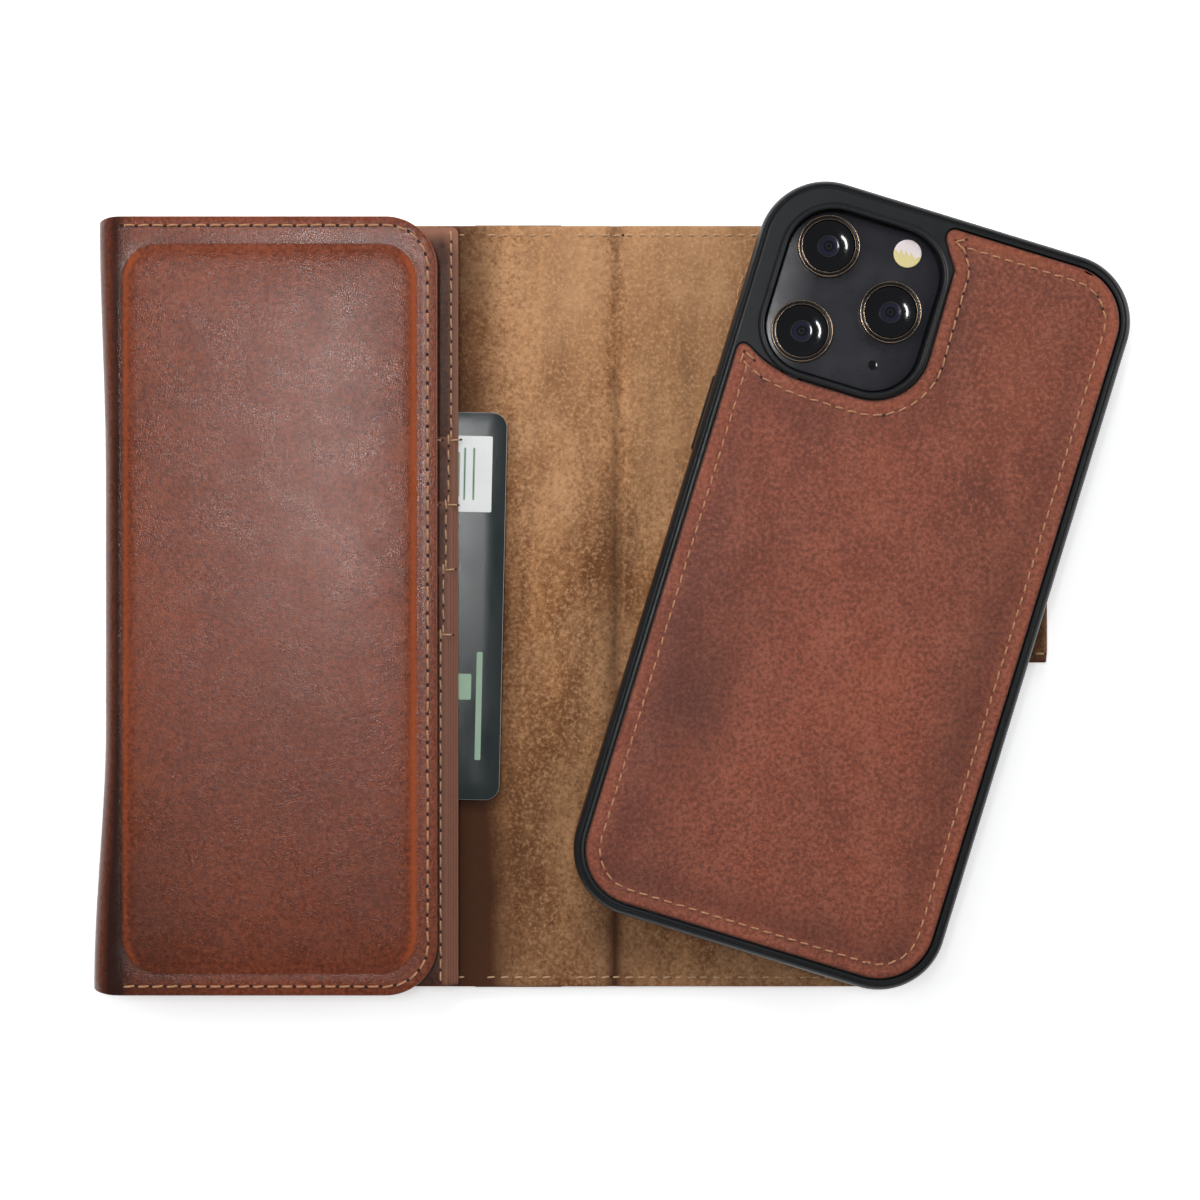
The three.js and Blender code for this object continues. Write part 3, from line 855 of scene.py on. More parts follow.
@dataclass(frozen=True)
class TwistedThread:
    """Waxed thread, twisted from fine strands."""

    name: str
    base: tuple[int, int, int] = (206, 152, 108)
    deep: tuple[int, int, int] = (150, 98, 66)

    def make(self) -> bpy.types.Material:
        """Builds the material.

        Returns:
            The material.
        """
        bench = Bench(self.name, Sheen_Weight=0.2)
        strands = bench.noise(bench.place((1, 1, 1), 0.7), 0.25, 3, 0.7, 0.5)
        ground = bench.blend(bench.span(strands, 0.36, 0.62), colour(*self.deep), colour(*self.base))
        return bench.dress(ground, bench.span(strands, 0.3, 0.7, 0.5, 0.7), bench.relief(strands, 0.08))


class Finishes:
    """Every finish of the wallet, its case and the phone."""

    # name, two colours, roughness, metallic, texture size and depth, coat, streak
    PLAIN = {
        "board": ("grey board", (150, 141, 124), (128, 119, 103), 0.9, 0, 0.8, 0.06),
        "steel": ("rolled steel", (168, 171, 175), (150, 153, 158), 0.34, 1, 0.4, 0.01, 0, (1, 0.08, 1)),
        "magnet": ("nickel plate", (196, 198, 202), (180, 182, 186), 0.22, 1, 0.5, 0.006),
        "rubber": ("case rubber", (17, 18, 20), (22, 24, 26), 0.42, 0, 0.3, 0.012, 0.1),
        "rubber_dark": ("case inner wall", (12, 13, 14), (18, 19, 20), 0.6, 0, 0.3, 0.012),
        "microfibre": ("microfibre", (42, 44, 47), (54, 56, 60), 0.95, 0, 0.4, 0.08),
        "phone_metal": ("phone body", (60, 62, 67), (52, 54, 59), 0.36, 0.9, 0.3, 0.006),
        "screen": ("screen glass", (8, 9, 11), (10, 11, 14), 0.1, 0, 2.0, 0.001, 0.5),
        "camera_plate": ("camera plate", (34, 34, 40), (38, 38, 45), 0.3, 0, 0.25, 0.006, 0.15),
        "gold": ("lens ring", (206, 178, 150), (184, 156, 130), 0.26, 1, 0.4, 0.004),
        "lens_black": ("lens barrel", (5, 5, 6), (8, 8, 9), 0.25, 0, 0.5, 0.003),
        "lens_glass": ("lens glass", (4, 4, 6), (7, 7, 11), 0.08, 0, 2.0, 0.001, 0.6),
        "lens_coating": ("lens coating", (16, 24, 44), (28, 20, 46), 0.12, 0, 2.0, 0.001, 0.8),
        "flash_warm": ("flash warm", (222, 206, 140), (234, 222, 164), 0.35, 0, 0.7, 0.03, 0.4),
        "flash_cool": ("flash cool", (236, 222, 222), (244, 234, 234), 0.35, 0, 0.7, 0.03, 0.4),
        "card": ("card face", (40, 48, 48), (33, 40, 42), 0.2, 0, 0.5, 0.006, 0.25, (1, 0.3, 1)),
        "card_edge": ("card edge", (206, 208, 206), (184, 188, 186), 0.5, 0, 0.4, 0.01),
        "label": ("card label", (232, 234, 232), (222, 225, 224), 0.45, 0, 0.5, 0.004, 0.2),
        "print": ("card print", (150, 178, 152), (138, 166, 142), 0.45, 0, 0.5, 0.004, 0.2),
    }

    def __init__(self, case_turn: float) -> None:
        """Makes the materials.

        Args:
            case_turn: how far the snap case is turned, so that its leather's grain runs along it.
        """
        self.cover = GrainedLeather("cover leather").make()
        self.cover_edge = CutEdge("cover leather edge").make()
        self.facing = GrainedLeather(
            "pocket leather", base=(78, 38, 18), pale=(98, 50, 26), deep=(52, 25, 12),
            burnish_and_shade=(38, 18, 12), pale_and_highlight=(150, 100, 78), roughness=0.42, coat=0.0,
        ).make()
        self.facing_edge = CutEdge("pocket leather edge", (110, 66, 48), (140, 92, 70)).make()
        self.case_leather = GrainedLeather(
            "case leather", base=(142, 72, 50), pale=(160, 94, 72), deep=(98, 50, 37),
            burnish_and_shade=(70, 36, 28), pale_and_highlight=(178, 94, 58), roughness=0.42, coat=0.05, grain_mm=0.45,
            grain_depth_mm=0.03, streak=(1, 0.45, 1), turn=-case_turn, crease=0.2, mottle=0.7,
        ).make()
        self.case_leather_edge = CutEdge("case leather edge", (104, 62, 44), (140, 90, 64)).make()
        self.suede = BrushedSuede("suede").make()
        self.suede_edge = CutEdge("suede edge", (118, 80, 56), (156, 112, 80)).make()
        for finish, values in self.PLAIN.items():
            setattr(self, finish, Moulded(*values).make())
        self.thread = TwistedThread("wallet thread").make()
        self.thread_pale = TwistedThread("lining thread", (214, 176, 136), (164, 120, 84)).make()
        self.hole = CutEdge("stitch hole", (40, 20, 13), (58, 30, 20)).make()


# ---------- stitching ----------


@dataclass(frozen=True)
class StitchStyle:
    """The sizes of one kind of stitch, in millimetres."""

    pitch: float
    length: float
    thickness: float
    hole: float
    slant: float = 0.0
    seed: int = 3


class Stitcher:
    """Sews lines of stitches with geometry nodes."""

    INPUTS = (
        ("Pitch", "NodeSocketFloat"),
        ("Length", "NodeSocketFloat"),
        ("Thickness", "NodeSocketFloat"),
        ("Hole", "NodeSocketFloat"),
        ("Slant", "NodeSocketFloat"),
        ("Roll", "NodeSocketFloat"),
        ("Seed", "NodeSocketInt"),
        ("Thread", "NodeSocketMaterial"),
        ("Hole Finish", "NodeSocketMaterial"),
    )

    def __init__(self) -> None:
        """Builds the node tree."""
        self.tree = bpy.data.node_groups.new("stitch line", "GeometryNodeTree")
        face = self.tree.interface
        face.new_socket("Geometry", in_out="INPUT", socket_type="NodeSocketGeometry")
        self.sockets = {
            name: face.new_socket(name, in_out="INPUT", socket_type=kind).identifier
            for name, kind in self.INPUTS
        }
        face.new_socket("Geometry", in_out="OUTPUT", socket_type="NodeSocketGeometry")
        self.entry = self.node("NodeGroupInput")
        self.build()

    def node(self, kind: str, **inputs: object) -> bpy.types.Node:
        """Adds a node and links or sets the inputs named, with spaces written as underscores."""
        made = self.tree.nodes.new(kind)
        for key, value in inputs.items():
            socket = made.inputs[key.replace("_", " ")]
            if isinstance(value, bpy.types.NodeSocket):
                self.tree.links.new(value, socket)
            else:
                socket.default_value = value
        return made

    def sum(self, kind: str, a: object, b: object) -> bpy.types.NodeSocket:
        """A sum of two values, of the kind named."""
        made = self.tree.nodes.new("ShaderNodeMath")
        made.operation = kind
        for value, socket in ((a, made.inputs[0]), (b, made.inputs[1])):
            if isinstance(value, bpy.types.NodeSocket):
                self.tree.links.new(value, socket)
            else:
                socket.default_value = value
        return made.outputs[0]

    def vector(self, x: object, y: object, z: object) -> bpy.types.NodeSocket:
        """Joins three values into a vector."""
        return self.node("ShaderNodeCombineXYZ", X=x, Y=y, Z=z).outputs[0]

    def build(self) -> None:
        """Lays out the nodes: a line of points, a thread arc on each and a needle hole between."""
        given = self.entry.outputs
        half = self.sum("MULTIPLY", given["Length"], 0.5)
        dip = self.sum("MULTIPLY", given["Thickness"], -0.5)
        rise = self.sum("MULTIPLY", given["Thickness"], 1.5)
        arc = self.node(
            "GeometryNodeCurveQuadraticBezier",
            Resolution=5,
            Start=self.vector(self.sum("MULTIPLY", half, -1.0), 0.0, dip),
            Middle=self.vector(0.0, 0.0, rise),
            End=self.vector(half, 0.0, dip),
        )
        section = self.node("GeometryNodeCurvePrimitiveCircle", Resolution=6)
        self.tree.links.new(self.sum("MULTIPLY", given["Thickness"], 0.5), section.inputs["Radius"])
        thread = self.node(
            "GeometryNodeCurveToMesh", Curve=arc.outputs[0], Profile_Curve=section.outputs[0]
        )
        thread.inputs["Fill Caps"].default_value = True
        ball = self.node("GeometryNodeMeshIcoSphere", Radius=1.0, Subdivisions=2)
        wide = given["Hole"]
        flat = self.vector(wide, self.sum("MULTIPLY", wide, 0.8), self.sum("MULTIPLY", wide, 0.16))
        gap = self.vector(self.sum("MULTIPLY", given["Pitch"], 0.5), 0.0, 0.0)
        hole = self.node(
            "GeometryNodeTransform", Geometry=ball.outputs["Mesh"], Translation=gap, Scale=flat
        )
        line = self.node("GeometryNodeMeshToCurve", Mesh=given["Geometry"])
        spaced = self.node("GeometryNodeResampleCurve", Curve=line.outputs[0])
        spaced.mode = "LENGTH"
        step = next(socket for socket in spaced.inputs if socket.identifier == "Length")
        self.tree.links.new(given["Pitch"], step)
        tangent = self.node("GeometryNodeInputTangent")
        along = self.node("FunctionNodeAlignRotationToVector", Vector=tangent.outputs[0])
        along.axis = "X"
        along.pivot_axis = "Z"
        chance = self.node("FunctionNodeRandomValue", Seed=given["Seed"])
        chance.data_type = "FLOAT"
        low, high = [s for s in chance.inputs if s.name in ("Min", "Max") and s.type == "VALUE"][:2]
        low.default_value = -0.07
        high.default_value = 0.07
        swing = [s for s in chance.outputs if s.type == "VALUE"][0]
        euler = self.vector(given["Roll"], 0.0, self.sum("ADD", swing, given["Slant"]))
        turned = self.node("FunctionNodeEulerToRotation", Euler=euler)
        rotated = self.node(
            "FunctionNodeRotateRotation", Rotation=along.outputs[0], Rotate_By=turned.outputs[0]
        )
        rotated.rotation_space = "LOCAL"
        branches = []
        for instance, finish in ((thread, "Thread"), (hole, "Hole Finish")):
            placed = self.node(
                "GeometryNodeInstanceOnPoints",
                Points=spaced.outputs[0],
                Instance=instance.outputs[0],
                Rotation=rotated.outputs[0],
            )
            solid = self.node("GeometryNodeRealizeInstances", Geometry=placed.outputs[0])
            dressed = self.node(
                "GeometryNodeSetMaterial", Geometry=solid.outputs[0], Material=given[finish]
            )
            branches.append(dressed.outputs[0])
        joined = self.node("GeometryNodeJoinGeometry")
        for branch in branches:
            self.tree.links.new(branch, joined.inputs[0])
        leave = self.node("NodeGroupOutput")
        self.tree.links.new(joined.outputs[0], leave.inputs[0])

    def sew(
        self,
        name: str,
        lines: Sequence[Points],
        style: StitchStyle,
        thread: bpy.types.Material,
        hole: bpy.types.Material,
        roll: float = 0.0,
    ) -> bpy.types.Object:
        """Sews along lines.

        Args:
            name: the name of the stitches' object.
            lines: open lines of points in millimetres.
            style: the stitches' sizes.
            thread: the thread's finish.
            hole: the needle holes' finish.
            roll: a turn about the line, half a turn for a face that looks down.

        Returns:
            The stitches as a plain mesh.
        """
        points: list[tuple[float, ...]] = []
        edges: list[tuple[int, int]] = []
        for line in lines:
            edges.extend((len(points) + k, len(points) + k + 1) for k in range(len(line) - 1))
            points.extend(tuple(p) for p in np.asarray(line) * MM)
        mesh = bpy.data.meshes.new(name + "_guide")
        mesh.from_pydata(points, edges, [])
        guide = bpy.data.objects.new(name + "_guide", mesh)
        bpy.context.scene.collection.objects.link(guide)
        modifier = guide.modifiers.new("stitches", "NODES")
        modifier.node_group = self.tree
        values = {
            "Pitch": style.pitch * MM,
            "Length": style.length * MM,
            "Thickness": style.thickness * MM,
            "Hole": style.hole * MM,
            "Slant": style.slant,
            "Roll": roll,
            "Seed": style.seed,
            "Thread": thread,
            "Hole Finish": hole,
        }
        for key, value in values.items():
            modifier[self.sockets[key]] = value
        graph = bpy.context.evaluated_depsgraph_get()
        made = bpy.data.meshes.new_from_object(guide.evaluated_get(graph))
        made.name = name
        made.shade_smooth()
        bpy.data.objects.remove(guide)
        sewn = bpy.data.objects.new(name, made)
        bpy.context.scene.collection.objects.link(sewn)
        return sewn


# ---------- the wallet's covers and linings ----------


def attach(piece: bpy.types.Object, body: str, nodes: Sequence[str] = ()) -> None:
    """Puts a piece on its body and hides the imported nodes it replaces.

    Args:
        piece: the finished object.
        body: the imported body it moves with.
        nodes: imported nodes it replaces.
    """
    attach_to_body(piece, body)
    if nodes:
        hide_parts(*nodes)
    log.info("%s rides on %s", piece.name, body)


def bend(
    piece: bpy.types.Object,
    bodies: tuple[str, str],
    nodes: Sequence[str] = (),
) -> None:
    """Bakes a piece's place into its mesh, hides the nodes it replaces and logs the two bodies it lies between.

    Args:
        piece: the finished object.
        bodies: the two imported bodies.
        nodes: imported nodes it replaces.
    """
    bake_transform(piece)
    if nodes:
        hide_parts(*nodes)
    log.info("%s bends between %s and %s", piece.name, *bodies)


@dataclass
class FoldLines:
    """The wallet's fold lines and heights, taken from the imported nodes."""

    bend_half: float = 3.2  # half the width of leather that bends at a fold

    def __post_init__(self) -> None:
        """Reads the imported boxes."""
        self.back = extent("back_panel_leather")
        self.front = extent("front_panel_leather")
        self.suede = extent("back_panel_suede")
        self.back_fold = joint("cover_fold")["pos_m"][0] / MM
        self.front_fold = joint("cover_turn")["pos_m"][0] / MM
        self.middle = (self.back_fold + self.front_fold) / 2
        self.window = self.window_box()

    def window_box(self) -> Extent:
        """The camera window's outline, from the record's opening."""
        opening = frame["record"]["physics"]["openings"][0]["box_m"]
        (x0, y0, z0), (x1, y1, z1) = opening
        grow = 3.45  # the opening is held this much inside the window's edge
        return Extent(
            x0 / MM - grow, x1 / MM + grow, y0 / MM - grow, y1 / MM + grow, z0 / MM, z1 / MM
        )

    def columns(self, fold: float) -> Points:
        """Places in x where faces gather round a fold."""
        return fold + np.linspace(-self.bend_half, self.bend_half, 9)


class Covers:
    """Outer leather and suede lining of the spine and the two panels."""

    CREASE_OUT = 11.7  # from the fold between spine and back panel to the worn crease
    CUT_AWAY = 1580.0  # area of the camera window and the two rounded corners, in square millimetres

    def __init__(self, folds: FoldLines, finishes: Finishes, stitcher: Stitcher) -> None:
        """Keeps what the methods need."""
        self.folds = folds
        self.finishes = finishes
        self.stitcher = stitcher

    def window_outline(self) -> Points:
        """The camera window, anticlockwise."""
        w = self.folds.window
        return rounded_rect(w.x0, w.x1, w.y0, w.y1, (11.5, 11.5, 11.5, 11.5))

    def seam_free(self, seam: float) -> Callable[[Points], Points]:
        """Says that an edge is finished everywhere but at a hidden seam."""
        return lambda points: smooth(np.abs(points[:, 0] - seam), 0.02, 0.5)

    def lining_top(self, points: Points) -> Points:
        """Height of the suede's face, with soft swells and the crease beside the spine."""
        z = self.folds.suede.z1 - 0.08 + 0.14 * ripple(points, 13, 1.0) + 0.07 * ripple(points, 5, 2.2)
        crease = points[:, 0] - (self.folds.back_fold + self.CREASE_OUT + 0.5 * ripple(points[:, [1, 1]], 30))
        z = z - 0.42 * np.exp(-((crease / 1.5) ** 2)) + 0.12 * np.exp(-(((crease - 4) / 2.4) ** 2))
        z = np.minimum(z, self.folds.suede.z1)
        away = np.abs(points[:, 0] - self.folds.middle)
        return np.where(away < 1.0, self.folds.suede.z1, z)

    def lining_tone(self, points: Points) -> Points:
        """Shade of the suede: paler at the head and darker at the foot as painted light falling from the head,
        with painted shade in the crease and beside the front fold.
        """
        y = points[:, 1]
        # Painted light: paler towards the head and darker towards the foot.
        tone = 0.4 * smooth(y, -10, 75) - 0.3 * smooth(-y, 10, 85)
        crease = points[:, 0] - (self.folds.back_fold + self.CREASE_OUT)
        # Painted shade in the crease.
        tone = tone - 0.5 * np.exp(-((crease / 1.3) ** 2)) - 0.2 * np.exp(-((crease / 4.5) ** 2))
        left = points[:, 0] - self.folds.front_fold
        # Painted shade beside the front fold, next to the pockets and the flap.
        tone = tone - 1.05 * np.exp(-(((left + 2) / 8.5) ** 2))
        return tone + 0.12 * ripple(points, 9, 4.0)

    def build_linings(self) -> None:
        """Makes both halves of the suede lining, which meet at the middle of the spine."""
        f = self.folds
        style = EdgeStyle.SOFT
        back_outline = rounded_rect(
            f.middle, f.back.x1 - 0.25, f.back.y0 + 0.25, f.back.y1 - 0.25, (0, 13.7, 13.7, 0)
        )
        back = plate(
            back_outline, self.lining_top, level(f.suede.z0), style, [self.window_outline()],
            columns=f.columns(f.back_fold), grid=2.2, free=self.seam_free(f.middle),
        ).object("lining_back", [self.finishes.suede, self.finishes.suede_edge], tone=self.lining_tone)
        bend(
            back, ("spine", "back_panel"),
            ["back_panel_suede", "spine_suede"],
        )
        front_outline = rounded_rect(f.front.x0, f.middle, f.front.y0 + 0.25, f.front.y1 - 0.25, (0, 0, 0, 0))
        front = plate(
            front_outline, self.lining_top, level(f.suede.z0), style,
            columns=f.columns(f.front_fold), grid=2.4, free=self.seam_free(f.middle),
        ).object("lining_front", [self.finishes.suede, self.finishes.suede_edge], tone=self.lining_tone)
        bend(
            front, ("front_panel", "spine"),
            ["front_panel_lining"],
        )

    def cover_bottom(self, points: Points) -> Points:
        """Height of the cover's outer face, with a shallow groove beside each fold."""
        z = np.zeros(len(points)) + 0.02
        for fold in (self.folds.back_fold, self.folds.front_fold):
            z = z + 0.22 * np.exp(-(((points[:, 0] - fold) / 1.1) ** 2))
        return z

    def cover_tone(self, points: Points) -> Points:
        """Shade of the cover: burnished at the edge and along the folds."""
        f = self.folds
        tone = 0.22 * ripple(points, 17, 5.0)
        for fold in (f.back_fold, f.front_fold):
            tone = tone - 0.45 * np.exp(-(((points[:, 0] - fold) / 2.2) ** 2))
        edge = np.minimum(points[:, 1] - f.back.y0, f.back.y1 - points[:, 1])
        return tone - 0.5 * np.exp(-((edge / 1.2) ** 2))

    def build_covers(self) -> None:
        """Makes both halves of the outer leather, which meet at the middle of the spine."""
        f = self.folds
        finishes = [self.finishes.cover, self.finishes.cover_edge]
        outline = rounded_rect(f.middle, f.back.x1, f.back.y0, f.back.y1, (0, 14, 14, 0))
        back = plate(
            outline, level(f.back.z1), self.cover_bottom, EdgeStyle.ROUNDED, [self.window_outline()],
            columns=f.columns(f.back_fold), free=self.seam_free(f.middle),
        ).object("outer_cover_back", finishes, tone=self.cover_tone)
        bend(
            back, ("spine", "back_panel"),
            ["back_panel_leather", "spine_leather"],
        )
        left = f.front.x0 + EdgeRoll.SEAM_IN
        front = plate(
            rounded_rect(left, f.middle, f.front.y0, f.front.y1, (0, 0, 0, 0)),
            level(f.front.z1), self.cover_bottom, EdgeStyle.ROUNDED, columns=f.columns(f.front_fold),
            free=lambda points: self.seam_free(f.middle)(points) * self.seam_free(left)(points),
        ).object("outer_cover_front", finishes, tone=self.cover_tone)
        bend(
            front, ("front_panel", "spine"),
            ["front_panel_leather"],
        )

    def build_stitches(self) -> None:
        """Sews the lining's edge on the upper side and the cover's edge on the lower side."""
        f = self.folds
        y0, y1, x1 = f.back.y0 + 2.35, f.back.y1 - 2.35, f.back.x1 - 2.35
        style = StitchStyle(2.75, 2.1, 0.42, 0.34, 0.05)
        round_edge = rounded_rect(f.back_fold, x1, y0, y1, (0, 11.6, 11.6, 0), 1.0)
        keep = round_edge[:, 0] > f.back_fold + 3.5
        first = int(np.argmax(keep))
        line = round_edge[first:][keep[first:]]
        window = rounded_rect(
            f.window.x0 - 2.2, f.window.x1 + 2.2, f.window.y0 - 2.2, f.window.y1 + 2.2, (13.7,) * 4, 1.0
        )
        closed_window = np.concatenate([window, window[:1]])
        parts = {
            "back_panel": [line, closed_window],
            "spine": [
                np.array([[f.front_fold + 3.6, y], [f.back_fold - 3.4, y]]) for y in (y0, y1)
            ],
            "front_panel": [np.array([[f.front.x0 + 4, y], [f.front_fold - 3.2, y]]) for y in (y0, y1)],
        }
        for body, lines in parts.items():
            top = [np.column_stack([p, self.lining_top(p) - 0.14]) for p in map(self.fine, lines)]
            low = [np.column_stack([p, self.cover_bottom(p) + 0.12]) for p in map(self.fine, lines)]
            up = self.stitcher.sew(
                f"lining_stitches_{body}", top, style, self.finishes.thread_pale, self.finishes.hole
            )
            attach(up, body)
            down = self.stitcher.sew(
                f"cover_stitches_{body}", low, style, self.finishes.thread, self.finishes.hole, math.pi
            )
            attach(down, body)

    @staticmethod
    def fine(line: Points) -> Points:
        """The line with points close together."""
        return densify(np.asarray(line, float), 0.8, closed=False)


# ---------- the rolled edge and the flap ----------


@dataclass
class EdgeRoll:
    """The round of leather that turns from the front panel up into the flap."""

    START_IN = 3.1  # how far in from the panel's edge the leather starts to turn
    SEAM_IN = 7.5  # how far in the round's leather meets the panel's
    reach: float = 4.3  # how far the round stands out beyond where it starts
    rise: float = 4.42  # half the height of the round
    thick: float = 0.98

    def __post_init__(self) -> None:
        """Takes the fold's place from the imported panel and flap."""
        front = extent("front_panel_leather")
        self.start = front.x0 + self.START_IN
        self.y0, self.y1 = front.y0, front.y1
        self.middle = (self.y0 + self.y1) / 2
        self.top = 8.85
        self.centre = self.top / 2

    def arc(self) -> float:
        """Length of leather from the start of the turn to half height."""
        return (self.reach + self.rise) / 2 * math.pi / 2

    def flare(self, y: Points) -> Points:
        """How much further the round stands out towards its two ends."""
        head = 1.4 * smooth(y, 25, 84)
        foot = 2.6 * smooth(-y, 30, 88)
        return head + foot

    def turn_down(self, points: Points) -> Points:
        """Bends the developed left part of the upper leather round the fold.

        Args:
            points: points as if the leather lay flat, at the flap's height.

        Returns:
            The points on the round.
        """
        return self.turned(points, 1)

    def turn_up(self, points: Points) -> Points:
        """Bends the developed left part of the lower leather round the fold."""
        return self.turned(points, -1)

    def turned(self, points: Points, side: int) -> Points:
        """Bends points round the fold, from above (1) or from below (-1)."""
        moved = points.copy()
        past = self.start - points[:, 0]
        bent = past > 0
        angle = np.clip(past / self.arc(), 0, 1)[bent] * math.pi / 2
        outer = self.top if side > 0 else 0.0
        inner = side * (outer - points[bent, 2])
        reach = self.reach + self.flare(points[bent, 1]) - inner
        rise = self.rise - inner
        moved[bent, 0] = self.start - reach * np.sin(angle)
        moved[bent, 2] = self.centre + side * rise * np.cos(angle)
        return moved


class Flap:
    """The padded flap, folded over the card pockets."""

    def __init__(self, roll: EdgeRoll, finishes: Finishes, stitcher: Stitcher) -> None:
        """Reads the flap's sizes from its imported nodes."""
        self.roll = roll
        self.finishes = finishes
        self.stitcher = stitcher
        self.box = extent("flap_leather")
        self.padding = extent("flap_padding")
        self.slope = 2.5  # width of the slope round the raised panel
        self.panel_top = self.box.z1
        self.panel = (
            self.padding.x0 - 2.2, self.padding.x1 + 2.2, self.padding.y0 - 2.2, self.padding.y1 + 2.2
        )

    def panel_outline(self, moved_in: float = 0.0) -> Points:
        """The raised panel's foot, moved inwards."""
        x0, x1, y0, y1 = self.panel
        r = 8.4 - moved_in
        return rounded_rect(
            x0 + moved_in, x1 - moved_in, y0 + moved_in, y1 - moved_in, (r, r, r, r), 1.3
        )

    def panel_depth(self, points: Points) -> Points:
        """Distance inside the raised panel's foot."""
        x0, x1, y0, y1 = self.panel
        r = 8.4
        qx = np.abs(points[:, 0] - (x0 + x1) / 2) - ((x1 - x0) / 2 - r)
        qy = np.abs(points[:, 1] - (y0 + y1) / 2) - ((y1 - y0) / 2 - r)
        out = np.hypot(np.maximum(qx, 0), np.maximum(qy, 0)) + np.minimum(np.maximum(qx, qy), 0)
        return r - out

    def top(self, points: Points) -> Points:
        """Height of the flap's face: border, groove, slope and crowned panel."""
        d = self.panel_depth(points)
        base = self.roll.top
        groove = -0.1 * np.exp(-(((d - 0.1) / 0.6) ** 2))
        swell = 0.5
        slope = (self.panel_top - swell - 0.05 - base) * smooth(d, 0.1, self.slope)
        crown = swell * (1 - np.exp(-np.maximum(d - self.slope * 0.6, 0) / 9))
        soft = 0.04 * ripple(points, 24, 0.6) * smooth(d, 1, 6)
        return base + groove + slope + crown + soft

    def tone(self, points: Points) -> Points:
        """Shade: a painted highlight as a warm glow on the slope, painted shade in the groove and along the fold,
        darker towards the foot and the lower left, and darker over the round.
        """
        d = self.panel_depth(points)
        upper = points[:, 2] > self.box.z0 + 0.55
        x0, x1 = self.panel[:2]
        side = smooth(-np.minimum(points[:, 0] - x0, x1 - points[:, 0]), -5, -2)
        # Painted highlight: a warm glow on the slope, strongest along the panel's left and right sides.
        tone = (0.04 + 0.7 * side) * np.exp(-(((d - 0.9) / 0.8) ** 2))
        # Painted shade: a dark line in the groove at the panel's foot.
        tone = tone - 0.35 * np.exp(-(((d + 0.2) / 0.45) ** 2))
        past = points[:, 0] - self.roll.start
        # Painted shade: a dark band where the leather starts to turn down at the fold.
        band = np.exp(-(((past + 1.0) / 1.9) ** 2))
        tone = tone - 0.85 * band
        lower = smooth(-points[:, 1], 5, 85)
        tone = tone - 0.2 * lower * smooth(d, 1, 3) + 0.1 * ripple(points, 15, 3.3)
        tone = tone - 0.4 * np.exp(-(((points[:, 0] - x0) / 14) ** 2)) * smooth(-points[:, 1], 35, 88)
        tone = np.where(past < -2.8, -0.5, tone)
        return np.where(upper, tone, -0.2)

    def build(self) -> None:
        """Makes the flap's leather with its half of the rolled edge, its lining and pocket."""
        b, roll = self.box, self.roll
        left = roll.start - roll.arc()
        outline = rounded_rect(left, b.x1, b.y0, b.y1, (0, 11.4, 11.4, 0), 1.1)
        guides = [self.panel_outline(k) for k in (-0.6, -0.15, 0.25, 0.7, 1.2, 1.7, 2.2)]
        leather = plate(
            outline, self.top, level(b.z0 - 0.03), EdgeStyle.ROUNDED, guides=guides,
            columns=np.linspace(left + 0.4, roll.start + 0.4, 17), grid=2.4,
            free=lambda points: smooth(points[:, 0] - left, 0.02, 0.5),
            under_finish=2,
        )
        cover = leather.object(
            "flap_cover", [self.finishes.cover, self.finishes.cover_edge, self.finishes.suede],
            reshape=self.reshape, tone=self.tone,
        )
        bend(
            cover, ("edge_fold", "flap"),
            ["flap_leather", "flap_padding"],
        )
        self.build_lining()
        self.build_stitches()

    def reshape(self, points: Points) -> Points:
        """Turns the left part round the fold and eases its ends to the panel's length."""
        moved = self.roll.turn_down(points)
        share = smooth(self.roll.start - points[:, 0], 1.0, self.roll.arc())
        span_now = (self.box.y1 - self.box.y0) / 2
        span_end = (self.roll.y1 - self.roll.y0) / 2
        centre = (self.box.y0 + self.box.y1) / 2
        factor = 1 + (span_end / span_now - 1) * share
        moved[:, 1] = centre + (moved[:, 1] - centre) * factor
        return moved

    def build_lining(self) -> None:
        """Makes the suede lining and the wide pocket on the flap's inner face."""
        lining = extent("flap_lining")
        pocket = extent("flap_pocket")
        start = self.roll.start + 0.6
        outline = rounded_rect(start, lining.x1, lining.y0, lining.y1, (0, 11, 11, 0))
        piece = plate(
            outline, level(lining.z1), level(lining.z0), EdgeStyle.THIN
        ).object("flap_inner_lining", [self.finishes.suede, self.finishes.suede_edge])
        attach(piece, "flap", ["flap_lining"])
        outline = rounded_rect(pocket.x0, pocket.x1, pocket.y0, pocket.y1, (0, 10.4, 0, 0))
        piece = plate(
            outline, level(pocket.z1), level(pocket.z0), EdgeStyle.THIN
        ).object("flap_wide_pocket", [self.finishes.facing, self.finishes.facing_edge])
        attach(piece, "flap", ["flap_pocket"])

    def build_stitches(self) -> None:
        """Sews round the flap's three free edges, on its face and on its lining."""
        b = self.box
        edge = 2.05
        line = rounded_rect(
            self.roll.start + 0.8, b.x1 - edge, b.y0 + edge, b.y1 - edge, (0, 9.3, 9.3, 0), 0.9
        )
        keep = line[:, 0] > self.roll.start + 1.2
        first = int(np.argmax(keep))
        line = line[first:][keep[first:]]
        line = densify(line, 0.9, closed=False)
        top = np.column_stack([line, self.top(line) + 0.03])
        style = StitchStyle(3.15, 2.35, 0.5, 0.44, 0.04)
        sewn = self.stitcher.sew("flap_stitches", [top], style, self.finishes.thread, self.finishes.hole)
        attach(sewn, "flap")
        low = np.column_stack([line, np.full(len(line), extent("flap_pocket").z0 - 0.02)])
        under = self.stitcher.sew(
            "flap_lining_stitches", [low], style, self.finishes.thread_pale, self.finishes.hole, math.pi
        )
        attach(under, "flap")


